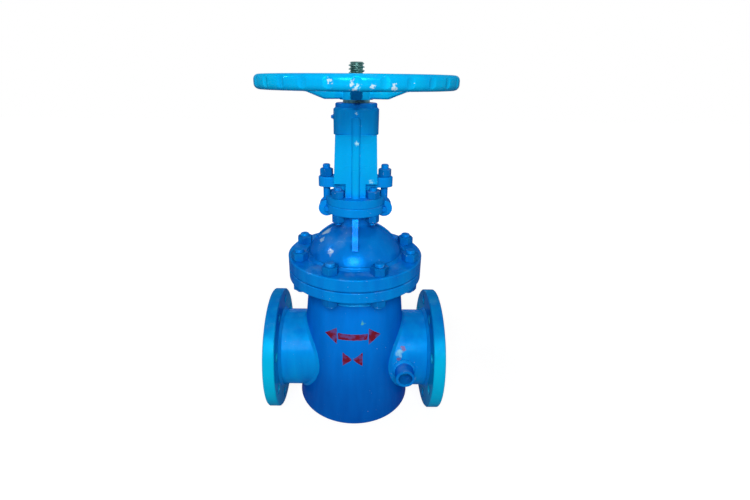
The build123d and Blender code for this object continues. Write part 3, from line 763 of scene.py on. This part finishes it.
class Bench:
    """Mesh of one added piece, made of rings of points."""

    def __init__(self, name: str) -> None:
        """Start an empty mesh of this name."""
        self.name = name
        self.mesh = bmesh.new()

    def skin(self, rings: Sequence[Sequence[Vector]], closed: bool = False) -> None:
        """Join rings of points with quads.

        Args:
            rings: Rings with the same number of points, in order along the form.
            closed: Whether the last ring joins the first; open forms are capped.
        """
        rows = [[self.mesh.verts.new(point) for point in ring] for ring in rings]
        pairs = list(zip(rows, rows[1:] + rows[:1] if closed else rows[1:]))
        for low, high in pairs:
            for i in range(len(low)):
                j = (i + 1) % len(low)
                self.mesh.faces.new((low[i], low[j], high[j], high[i]))
        if not closed:
            self.mesh.faces.new(reversed(rows[0]))
            self.mesh.faces.new(rows[-1])

    def piece(
        self, body: Body, slot: Slot, finish: Finish, replaced: Iterable[str] = (), sharp: float = 35.0
    ) -> bpy.types.Object:
        """Turn the mesh into a finished piece.

        Args:
            body: Body that it rides on.
            slot: Material slot of the record; not used.
            finish: Finish of its surface.
            replaced: CAD nodes that it stands for.
            sharp: Angle in degrees above which an edge stays sharp in the shading.

        Returns:
            The piece.
        """
        bmesh.ops.recalc_face_normals(self.mesh, faces=self.mesh.faces)
        for face in self.mesh.faces:
            face.smooth = True
        for edge in self.mesh.edges:
            edge.smooth = edge.calc_face_angle(0.0) < math.radians(sharp)
        mesh = bpy.data.meshes.new(self.name)
        self.mesh.to_mesh(mesh)
        self.mesh.free()
        piece = bpy.data.objects.new(self.name, mesh)
        bpy.context.scene.collection.objects.link(piece)
        mesh.materials.append(material_of(finish))
        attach(piece, body.value)
        if replaced:
            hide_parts(*replaced)
        log.info("%s: %d faces, rides on %s", self.name, len(mesh.polygons), body.value)
        return piece


def dress(finish: Finish, *nodes: str) -> None:
    """Give CAD nodes a finish.

    Args:
        finish: Finish of their surface.
        nodes: Names of the nodes.
    """
    for name in nodes:
        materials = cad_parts[name].data.materials
        materials.clear()
        materials.append(material_of(finish))
        log.info("%s: finished as %s", name, material_of(finish).name)


def circle(centre: Point, radius: float, count: int, start: float = 0.0) -> list[Vector]:
    """Points of a level circle.

    Args:
        centre: Its centre.
        radius: Its radius.
        count: Number of points.
        start: Angle of the first point, in radians.

    Returns:
        The points, counter-clockwise from above.
    """
    middle = Vector(centre)
    angles = [start + FULL_TURN * i / count for i in range(count)]
    return [middle + Vector((math.cos(a) * radius, math.sin(a) * radius, 0)) for a in angles]


@dataclass(frozen=True)
class Thread:
    """Screw thread as a relief on a round bar."""

    crest_r: float
    pitch: float
    depth: float
    crest_share: float = 0.18
    root_share: float = 0.2
    hand: Hand = Hand.RIGHT

    def radius(self, height: float, turn: float) -> float:
        """Radius of the bar at one point.

        Args:
            height: Height along the bar.
            turn: Share of a turn about it.

        Returns:
            The radius, at most crest_r.
        """
        phase = abs((height / self.pitch - self.hand.value * turn) % 1 - 0.5) * 2
        flank = (phase - self.crest_share) / (1 - self.crest_share - self.root_share)
        return self.crest_r - self.depth * min(max(flank, 0.0), 1.0)


@dataclass(frozen=True)
class Bar:
    """Upright round bar with threaded stretches and chamfered ends."""

    thread: Thread
    low: float
    high: float
    chamfer: float
    stretches: tuple[tuple[float, float], ...]
    sides: int = 32
    steps: int = 8

    def heights(self) -> list[float]:
        """Heights of the rings: close together where the bar is threaded, and at the ends.

        Returns:
            The heights, from the lowest up.
        """
        marks = {self.low, self.low + self.chamfer, self.high - self.chamfer, self.high}
        step = self.thread.pitch / self.steps
        for start, end in self.stretches:
            count = max(2, round((end - start) / step))
            marks.update(start + (end - start) * i / count for i in range(count + 1))
        return sorted(marks)

    def share(self, height: float) -> float:
        """How deep the thread is cut at a height, running out over one pitch.

        Args:
            height: Height on the bar.

        Returns:
            A value between 0 and 1.
        """
        shares = [0.0]
        for start, end in self.stretches:
            if start <= height <= end:
                room = end - height if start <= self.low else height - start
                shares.append(min(room / self.thread.pitch + 0.01, 1.0))
        return max(shares)

    def build(self, bench: Bench, x: float, y: float) -> None:
        """Add the bar to a mesh.

        Args:
            bench: Mesh that it goes into.
            x: Place of its axis.
            y: Place of its axis.
        """
        rings = []
        for z in self.heights():
            room = min(z - self.low, self.high - z)
            limit = self.thread.crest_r - max(0.0, self.chamfer - room)
            ring = []
            for i in range(self.sides):
                turn = i / self.sides
                cut = self.thread.crest_r - self.thread.radius(z, turn)
                radius = min(self.thread.crest_r - cut * self.share(z), limit)
                angle = FULL_TURN * turn
                ring.append(Vector((x + math.cos(angle) * radius, y + math.sin(angle) * radius, z)))
            rings.append(ring)
        bench.skin(rings)


@dataclass(frozen=True)
class HexNut:
    """Hexagon nut with both faces chamfered to round."""

    across_flats: float
    bore_r: float
    height: float
    sides: int = 48
    chamfer_slope: float = math.tan(math.radians(28))
    face_share: float = 0.95

    def corner(self, turn: float) -> float:
        """Distance of the hexagon's side from its axis at a share of a turn."""
        within = (turn % (1 / 6)) * FULL_TURN - math.radians(30)
        return self.across_flats / 2 / math.cos(within)

    def _section(self, turn: float) -> list[tuple[float, float]]:
        """Section of the nut at a share of a turn, from bore to bore.

        Args:
            turn: Share of a turn about the axis.

        Returns:
            Radius and height of each point of the section.
        """
        face_r = self.across_flats / 2 * self.face_share
        wall_r = self.corner(turn)
        drop = (wall_r - face_r) * self.chamfer_slope
        return [
            (self.bore_r, 0.0),
            (face_r, 0.0),
            (wall_r, drop),
            (wall_r, self.height - drop),
            (face_r, self.height),
            (self.bore_r, self.height),
        ]

    def build(self, bench: Bench, x: float, y: float, low: float, yaw: float) -> None:
        """Add the nut to a mesh.

        Args:
            bench: Mesh that it goes into.
            x: Place of its axis.
            y: Place of its axis.
            low: Height of its lower face.
            yaw: Angle that it is turned by, in radians.
        """
        rings: list[list[Vector]] = [[] for _ in self._section(0.0)]
        for i in range(self.sides):
            turn = i / self.sides
            angle = FULL_TURN * turn + yaw
            for ring, (radius, z) in zip(rings, self._section(turn)):
                out = Vector((math.cos(angle) * radius, math.sin(angle) * radius, z))
                ring.append(Vector((x, y, low)) + out)
        bench.skin(rings, closed=True)


def fit_nuts(
    node: str,
    nut: tuple[float, float],
    places: Iterable[tuple[float, float]],
    yaws: Iterable[float],
    ride: tuple[Body, Slot, Finish] = (Body.VALVE, Slot.PAINT, NUT_PAINT),
) -> None:
    """Put chamfered nuts in the place of a node of plain ones.

    Args:
        node: CAD node of the nuts, which gives their height.
        nut: Size across flats and radius of the bore.
        places: X and Y of each nut.
        yaws: Angle that each is turned by, in radians.
        ride: Body, material slot and finish.
    """
    low, high = box_of(node)
    form = HexNut(*nut, high.z - low.z)
    bench = Bench(f"{node}_chamfered")
    for (x, y), yaw in zip(places, yaws):
        form.build(bench, x, y, low.z, yaw)
    bench.piece(*ride, [node])


Corner = tuple[Vector, Vector, Vector]


class Unevenness:
    """Waves and ripples along a closed weld that was laid by hand."""

    WAVES = 5

    def __init__(self, points: Sequence[Vector], seed: int) -> None:
        """Draw the waves and measure the weld.

        Args:
            points: Points along the weld.
            seed: Seed of the draw.
        """
        rng = random.Random(seed)
        self.count = len(points)
        self.waves = [
            (rng.randint(3, 17), rng.uniform(0, FULL_TURN), rng.uniform(0.3, 1.0))
            for _ in range(self.WAVES)
        ]
        self.runs = [0.0]
        for point, following in zip(points, points[1:]):
            self.runs.append(self.runs[-1] + (following - point).length)

    def sway(self, i: int) -> float:
        """Slow wave at one point, between -1 and 1."""
        angle = FULL_TURN * i / self.count
        return sum(math.sin(angle * n + phase) * share for n, phase, share in self.waves) / self.WAVES

    def ripple(self, i: int, length: float) -> float:
        """Ripple of this length at one point, between -1 and 1."""
        return math.sin(FULL_TURN * self.runs[i] / length)


@dataclass(frozen=True)
class Fillet:
    """Weld or cast fillet that fills the corner between two walls."""

    leg: float = 6.0 * MM
    swell: float = 0.45
    ripple: float = 3.2 * MM
    ripple_share: float = 0.05
    uneven: float = 0.12
    tuck: float = 0.35 * MM
    steps: int = 6

    def build(self, bench: Bench, path: Sequence[Corner], seed: int) -> None:
        """Add a closed fillet to a mesh.

        Args:
            bench: Mesh that it goes into.
            path: Points of the corner, each with the outward normals of its two walls.
            seed: Seed of its unevenness.
        """
        hand = Unevenness([corner[0] for corner in path], seed)
        rings = []
        for i, (point, first, second) in enumerate(path):
            ripple = self.ripple_share * hand.ripple(i, self.ripple)
            reach = self.leg * (1 + ripple + self.uneven * hand.sway(i))
            along_first = (second - first * first.dot(second)).normalized()
            along_second = (first - second * first.dot(second)).normalized()
            start = point + along_first * reach - first * self.tuck
            end = point + along_second * reach - second * self.tuck
            middle = point + (along_first + along_second) * reach * self.swell
            ring = [point - (first + second) * self.tuck]
            for k in range(self.steps + 1):
                t = k / self.steps
                ring.append(start * (1 - t) ** 2 + middle * 2 * t * (1 - t) + end * t**2)
            rings.append(ring)
        bench.skin(rings, closed=True)


@dataclass(frozen=True)
class Bead:
    """Hand-laid weld bead: a low rippled roll along a corner."""

    width: float = 6.0 * MM
    ripple: float = 3.4 * MM
    ripple_share: float = 0.10
    uneven: float = 0.16
    wander: float = 0.5 * MM
    flatness: float = 0.8
    sides: int = 10

    def build(self, bench: Bench, path: Sequence[tuple[Vector, Vector]], seed: int) -> None:
        """Add a closed bead to a mesh.

        Args:
            bench: Mesh that it goes into.
            path: Points of the corner, each with the direction in which the bead stands out.
            seed: Seed of its unevenness.
        """
        hand = Unevenness([point for point, _ in path], seed)
        rings = []
        for i, (point, outward) in enumerate(path):
            ahead, behind = path[(i + 1) % len(path)][0], path[i - 1][0]
            along = (ahead - behind).normalized()
            side = along.cross(outward).normalized()
            lift = side.cross(along).normalized()
            lift = lift if lift.dot(outward) > 0 else -lift
            ripple = self.ripple_share * hand.ripple(i, self.ripple)
            reach = self.width / 2 * (1 + ripple + self.uneven * hand.sway(i))
            centre = point + side * hand.sway(i) * self.wander
            across, upward = side * reach, lift * reach * self.flatness
            angles = [FULL_TURN * k / self.sides for k in range(self.sides)]
            rings.append([centre + across * math.cos(a) + upward * math.sin(a) for a in angles])
        bench.skin(rings, closed=True)


def weld(name: str, finish: Finish, *runs: tuple[Union[Fillet, Bead], Sequence[Any], int]) -> None:
    """Lay welds on the valve body as one painted piece.

    Args:
        name: Name of the piece.
        finish: Finish of its surface.
        runs: Shape, path and seed of each weld.
    """
    bench = Bench(name)
    for shape, path, seed in runs:
        shape.build(bench, path, seed)
    bench.piece(Body.VALVE, Slot.PAINT, finish, sharp=180)


def bolt_ring(centre_x: float, circle_r: float, count: int) -> list[tuple[float, float]]:
    """Bolt places on a circle, either side of the centre lines.

    Args:
        centre_x: Place of the circle's centre along X.
        circle_r: Radius of the circle.
        count: Number of bolts.

    Returns:
        X and Y of each bolt.
    """
    angles = [FULL_TURN * (i + 0.5) / count for i in range(count)]
    return [(centre_x + math.cos(a) * circle_r, math.sin(a) * circle_r) for a in angles]


@dataclass
class BoltedJoint:
    """Studs through two flanges with a nut at each end."""

    name: str
    places: Sequence[tuple[float, float]]
    stud_d: float
    across_flats: float
    pitch: float
    seed: int
    engraved: float = 0.35

    def build(self) -> None:
        """Build the studs and both sets of nuts in place of the plain ones."""
        rng = random.Random(self.seed)
        self._studs()
        for side in ("top", "bottom"):
            yaws = [rng.uniform(0, FULL_TURN) for _ in self.places]
            size = (self.across_flats, self.stud_d / 2)
            fit_nuts(f"{self.name}_{side}_nuts", size, self.places, yaws)

    def _studs(self) -> None:
        """Build the threaded studs."""
        node = f"{self.name}_studs"
        low, high = box_of(node)
        top_nut = box_of(f"{self.name}_top_nuts")[1].z
        bottom_nut = box_of(f"{self.name}_bottom_nuts")[0].z
        thread = Thread(self.stud_d / 2, self.pitch, self.pitch * self.engraved)
        stretches = ((low.z, bottom_nut + self.pitch), (top_nut - self.pitch, high.z))
        bar = Bar(thread, low.z, high.z, self.pitch * 0.7, stretches, sides=24, steps=6)
        bench = Bench(f"{node}_threaded")
        for x, y in self.places:
            bar.build(bench, x, y)
        bench.piece(Body.VALVE, Slot.PAINT, FORGED, [node])


@dataclass
class PressureBody:
    """End flanges, flow tube, wedge chamber, seats and body flange."""

    neck_r: float = 81.14 * MM
    points: int = 240

    def build(self) -> None:
        """Dress the pressure body and weld its neck."""
        dress(ROLLED, "wedge_chamber", "flow_tube_inlet", "flow_tube_outlet")
        dress(FORGED, "body_flange")
        dress(SEAT_STEEL, "inlet_seat_ring", "outlet_seat_ring")
        for node, near_face in (("inlet_flange", 0), ("outlet_flange", 1)):
            dress(FlangeFinish(PIPE_FLANGE_PAINT, FACE_STEEL, box_of(node)[near_face].x), node)
        self._neck_weld()

    def _neck_weld(self) -> None:
        """Weld the neck to the body flange."""
        corner = ring_corner(box_of("body_flange")[0].z, self.neck_r, -1, self.points)
        weld("neck_weld", WELD_PAINT, (Fillet(leg=4.0 * MM), corner, 4))


def valve_axis_x() -> float:
    """Place of the stem's axis along the flow."""
    low, high = box_of("stem")
    return (low.x + high.x) / 2


def ring_corner(z: float, radius: float, facing: int, count: int) -> list[Corner]:
    """Corner between a round upright wall on the stem's axis and a level face.

    Args:
        z: Height of the face.
        radius: Radius of the wall.
        facing: 1 where the face looks up, -1 where it looks down.
        count: Number of points.

    Returns:
        The corner, point by point.
    """
    level_normal = Vector((0, 0, facing))
    corner = []
    for point in circle((valve_axis_x(), 0, z), radius, count):
        radial = Vector((point.x - valve_axis_x(), point.y, 0)).normalized()
        corner.append((point, radial, level_normal))
    return corner


@dataclass
class SteamJacket:
    """Tapered jacket, its tubes and ports, and the weld beads that join them."""

    top_r: float = 82.5 * MM
    port_r: float = 16.5 * MM
    port_offset: float = 89.0 * MM
    top_weld_lean: float = 0.4
    points: int = 300

    def build(self) -> None:
        """Dress the jacket and lay its weld beads."""
        dress(MARKED, "jacket_shell")
        dress(ROLLED, "jacket_nozzle_inlet", "jacket_nozzle_outlet")
        dress(FORGED, "jacket_port_front", "jacket_port_back")
        for outward, place in ((-1, "inlet"), (1, "outlet")):
            self._tube_welds(outward, place)
        for outward, place in ((1, "front"), (-1, "back")):
            self._port_weld(outward, place)
        self._shell_welds()

    @property
    def tube_r(self) -> float:
        """Outer radius of the jacket tubes."""
        return box_of("jacket_nozzle_outlet")[1].z

    @property
    def taper(self) -> float:
        """How much the shell's radius shrinks per unit of height."""
        low, high = box_of("jacket_shell")
        return ((high.x - low.x) / 2 - self.top_r) / (high.z - low.z)

    def shell_r(self, z: float) -> float:
        """Outer radius of the tapered shell at a height."""
        return self.top_r + (box_of("jacket_shell")[1].z - z) * self.taper

    def _tube_welds(self, outward: int, place: str) -> None:
        """Weld one jacket tube to the shell and to its pipe flange.

        Args:
            outward: Direction of the tube along the flow, -1 or 1.
            place: End of the valve that it is on.
        """
        low, high = box_of(f"jacket_nozzle_{place}")
        end_x = high.x if outward > 0 else low.x
        saddle, rim = [], []
        for i in range(self.points):
            angle = FULL_TURN * i / self.points
            radial = Vector((0, math.cos(angle), math.sin(angle)))
            point = radial * self.tube_r
            reach = math.sqrt(self.shell_r(point.z) ** 2 - point.y**2)
            shell = Vector((outward * reach, point.y, self.shell_r(point.z) * self.taper)).normalized()
            saddle_x = valve_axis_x() + outward * reach
            saddle.append((point + Vector((saddle_x, 0, 0)), radial, shell))
            rim.append((point + Vector((end_x, 0, 0)), radial, Vector((-outward, 0, 0))))
        soft = Fillet(leg=4.5 * MM, swell=0.2, ripple_share=0.03)
        runs = ((soft, saddle, 11 + outward), (Fillet(leg=5.0 * MM), rim, 21 + outward))
        weld(f"jacket_tube_welds_{place}", ROLLED, *runs)

    def _port_weld(self, outward: int, place: str) -> None:
        """Weld one port to its jacket tube.

        Args:
            outward: End of the valve that the port is at, -1 or 1; it faces the other way along Y.
            place: Side that it faces.
        """
        centre_x = valve_axis_x() + outward * self.port_offset
        path = []
        for i in range(self.points // 2):
            angle = 2 * FULL_TURN * i / self.points
            radial = Vector((math.cos(angle), 0, math.sin(angle)))
            z = self.port_r * radial.z
            y = -outward * math.sqrt(self.tube_r**2 - z**2)
            away = Vector((0, y, z)).normalized()
            path.append((Vector((centre_x + self.port_r * radial.x, y, z)), radial, away))
        shape = Fillet(leg=4.5 * MM, swell=0.55, ripple=2.8 * MM, ripple_share=0.1)
        weld(f"jacket_port_weld_{place}", WELD_PAINT, (shape, path, 31 + outward))

    def _shell_welds(self) -> None:
        """Weld the shell's top to the neck."""
        top = box_of("jacket_shell")[1].z
        corner = ring_corner(top, PressureBody.neck_r, 1, self.points)
        path = [(point, radial * self.top_weld_lean + up) for point, radial, up in corner]
        weld("jacket_top_weld", WELD_PAINT, (Bead(width=4.4 * MM), path, 41))


@dataclass
class BonnetHead:
    """Domed bonnet with its gasket and bolted joint."""

    circle_r: float = 99.0 * MM
    bolts: int = 8
    stud_d: float = 16.0 * MM
    across_flats: float = 24.0 * MM
    pitch: float = 2.0 * MM
    foot_r: float = 80.5 * MM

    def build(self) -> None:
        """Dress the bonnet, weld its dome to the flange and bolt it down."""
        dress(CAST, "bonnet")
        dress(FORGED, "bonnet_flange")
        dress(GRAPHITE, "bonnet_gasket")
        foot = ring_corner(box_of("bonnet_flange")[1].z, self.foot_r, 1, 240)
        weld("dome_foot_weld", CAST, (Fillet(leg=5.0 * MM, swell=0.25, ripple_share=0.02), foot, 6))
        places = bolt_ring(valve_axis_x(), self.circle_r, self.bolts)
        BoltedJoint("bonnet", places, self.stud_d, self.across_flats, self.pitch, seed=2).build()


@dataclass
class YokeFrame:
    """Yoke, its cap and grease nipple, and the four studs that hold it."""

    bolt_x: float = 27.5 * MM
    bolt_y: float = 30.5 * MM
    stud_d: float = 12.0 * MM
    across_flats: float = 19.0 * MM
    pitch: float = 1.75 * MM

    def build(self) -> None:
        """Dress the yoke and bolt it down."""
        dress(YOKE_PAINT, "yoke")
        dress(FORGED, "yoke_cap", "grease_nipple")
        places = [
            (valve_axis_x() + sx * self.bolt_x, sy * self.bolt_y) for sx in (-1, 1) for sy in (-1, 1)
        ]
        BoltedJoint("yoke", places, self.stud_d, self.across_flats, self.pitch, seed=8).build()


@dataclass
class Gland:
    """Gland flange with packing, swing bolts, pins and nuts."""

    across_flats: float = 19.0 * MM
    bolt_d: float = 12.0 * MM

    def build(self) -> None:
        """Dress the gland and fit its chamfered nuts."""
        dress(GRAPHITE, "gland_packing")
        dress(CAST, "gland_flange")
        dress(FORGED, "eye_bolt_inlet", "eye_bolt_outlet", "eye_pin_inlet", "eye_pin_outlet")
        for place, yaw in (("inlet", 0.35), ("outlet", 1.3)):
            low, high = box_of(f"gland_nut_{place}")
            spot = ((low.x + high.x) / 2, 0.0)
            fit_nuts(f"gland_nut_{place}", (self.across_flats, self.bolt_d / 2), [spot], [yaw])


@dataclass
class Drive:
    """Wedge, threaded stem, stem nut and handwheel."""

    stem_d: float = 24.0 * MM
    pitch: float = 5.0 * MM
    depth: float = 2.75 * MM
    plain_above_gland: float = 4.0 * MM
    chamfer: float = 3.0 * MM
    head_d: float = 34.0 * MM
    head_h: float = 9.0 * MM
    lock_nut_flats: float = 46.0 * MM
    lock_nut_yaw: float = math.radians(12)
    shank_r: float = 16.0 * MM

    def build(self) -> None:
        """Dress the moving parts and cut the stem's thread."""
        dress(SEAT_STEEL, "wedge")
        dress(NUT_STEEL, "stem_nut")
        dress(WHEEL_PAINT, "handwheel")
        self._stem()
        self._lock_nut()

    def _stem(self) -> None:
        """Build the stem with its head and left-hand thread."""
        low, high = box_of("stem")
        start = box_of("gland_flange")[1].z + self.plain_above_gland
        thread = Thread(self.stem_d / 2, self.pitch, self.depth, hand=Hand.LEFT)
        foot = low.z + self.head_h
        bar = Bar(thread, foot, high.z, self.chamfer, ((start, high.z),), sides=64, steps=10)
        bench = Bench("stem_threaded")
        bar.build(bench, valve_axis_x(), 0.0)
        bench.skin([circle((valve_axis_x(), 0, z), self.head_d / 2, 48) for z in (low.z, foot)])
        bench.piece(Body.STEM, Slot.STEM, STEM_STEEL, ["stem"])

    def _lock_nut(self) -> None:
        """Build the chamfered lock nut on top of the hub."""
        size = (self.lock_nut_flats, self.shank_r)
        ride = (Body.WHEEL, Slot.STEM, NUT_STEEL)
        fit_nuts("wheel_lock_nut", size, [(valve_axis_x(), 0.0)], [self.lock_nut_yaw], ride)


@dataclass
class Lamp:
    """Soft square lamp that faces a point."""

    name: str
    place: Point
    side: float
    power: float
    target: Point

    def build(self) -> None:
        """Add the lamp."""
        data = bpy.data.lights.new(self.name, "AREA")
        data.shape = "SQUARE"
        data.size = self.side
        data.energy = self.power
        lamp = bpy.data.objects.new(self.name, data)
        lamp.location = self.place
        aim = Vector(self.target) - Vector(self.place)
        lamp.rotation_euler = aim.to_track_quat("-Z", "Y").to_euler()
        bpy.context.scene.collection.objects.link(lamp)


@dataclass
class Studio:
    """Pale floor, white surroundings, soft lamps and the camera of the photograph."""

    camera_distance: float = 648.8 * MM
    camera_z: float = 474.0 * MM
    camera_pitch: float = math.radians(22.8)
    camera_roll: float = math.radians(0.52)
    focal_px: float = 402.6
    axis_px: float = 355.0
    aim_z: float = 0.18
    floor_side: float = 12.0
    floor_shade: float = 0.22
    floor_glow: float = 0.88
    floor_near: float = 0.3
    floor_far: float = 0.8
    sky_strength: float = 0.06
    sensor_mm: float = 36.0

    def build(self) -> None:
        """Set up the whole studio."""
        bpy.context.scene.view_settings.view_transform = "Standard"
        self._world()
        self._floor()
        self._camera()
        axis = valve_axis_x()
        middle = (axis, 0.0, self.aim_z)
        for lamp in (
            Lamp("front_lamp", (axis - 0.05, -1.45, 1.02), 0.8, 24.0, middle),
            Lamp("front_spark", (axis + 0.01, -1.35, 0.97), 0.1, 1.5, middle),
            Lamp("left_spark", (axis - 1.46, -0.05, 1.4), 0.12, 2.5, middle),
            Lamp("top_lamp", (axis, 0.8, 1.8), 0.2, 1.5, middle),
            Lamp("left_lamp", (axis - 2.2, 0.0, 0.6), 1.2, 1.2, middle),
            Lamp("right_lamp", (axis + 2.2, 0.0, 0.6), 1.2, 1.2, middle),
            Lamp("back_lamp", (axis, 1.7, 0.15), 0.8, 9.0, middle),
        ):
            lamp.build()

    @staticmethod
    def _seen(shader: Shader) -> Value:
        """Tell the rays that see the backdrop itself, from the camera or by gloss or glass.

        Args:
            shader: Shader of the backdrop.

        Returns:
            1 for those rays, 0 for the others.
        """
        path = shader.node("ShaderNodeLightPath").outputs
        rays = ("Is Camera Ray", "Is Glossy Ray", "Is Transmission Ray")
        camera, glossy, transmitted = (Value(shader, path[ray]) for ray in rays)
        return camera.most(glossy).most(transmitted)

    def _world(self) -> None:
        """White surroundings to look at, dimmer ones to light the valve."""
        world = bpy.data.worlds.new("studio")
        bpy.context.scene.world = world
        shader = Shader(world)
        strength = self._seen(shader) * (1 - self.sky_strength) + self.sky_strength
        sockets = {"Color": (1.0, 1.0, 1.0), "Strength": strength}
        sky = shader.node("ShaderNodeBackground", sockets=sockets)
        shader.node("ShaderNodeOutputWorld", sockets={"Surface": sky.outputs[0]})

    def _floor(self) -> None:
        """Pale floor under the flanges."""
        shader = Shader.named("pale_floor")
        seen = self._seen(shader)
        x, y, _ = shader.axes()
        far = (x * x + y * y).root().rise(self.floor_near, self.floor_far)
        matt = shader.node("ShaderNodeBsdfDiffuse", sockets={"Color": (self.floor_shade,) * 3})
        share = seen * (far * (1 - self.floor_glow) + self.floor_glow)
        white = shader.mix(share, (0.0, 0.0, 0.0), (1.0, 1.0, 1.0))
        glow = shader.node("ShaderNodeEmission", sockets={"Color": white, "Strength": 1.0})
        both = shader.node("ShaderNodeAddShader", sockets={0: matt.outputs[0], 1: glow.outputs[0]})
        material = shader.finish(both.outputs[0])
        bench = bmesh.new()
        bmesh.ops.create_grid(bench, x_segments=1, y_segments=1, size=self.floor_side / 2)
        mesh = bpy.data.meshes.new("floor")
        bench.to_mesh(mesh)
        bench.free()
        mesh.materials.append(material)
        floor = bpy.data.objects.new("floor", mesh)
        floor.location = (valve_axis_x(), 0, cad_box[0][2])
        bpy.context.scene.collection.objects.link(floor)

    def _camera(self) -> None:
        """Camera at the photograph's place."""
        data = bpy.data.cameras.new("camera")
        data.sensor_width = self.sensor_mm
        data.lens = self.sensor_mm * self.focal_px / IMAGE_SIZE[0]
        data.shift_x = (IMAGE_SIZE[0] / 2 - self.axis_px) / IMAGE_SIZE[0]
        camera = bpy.data.objects.new("camera", data)
        tilt = Matrix.Rotation(math.pi / 2 - self.camera_pitch, 4, "X")
        roll = Matrix.Rotation(self.camera_roll, 4, "Z")
        place = Matrix.Translation((valve_axis_x(), -self.camera_distance, self.camera_z))
        camera.matrix_world = place @ tilt @ roll
        bpy.context.scene.collection.objects.link(camera)
        bpy.context.scene.camera = camera


def main() -> None:
    """Build the studio and dress the valve, sub-assembly by sub-assembly."""
    logging.basicConfig(level=logging.INFO, format="%(message)s")
    for part in (Studio(), PressureBody(), SteamJacket(), BonnetHead(), YokeFrame(), Gland(), Drive()):
        part.build()
        log.info("%s is done", type(part).__name__)


if __name__ == "__main__":
    main()
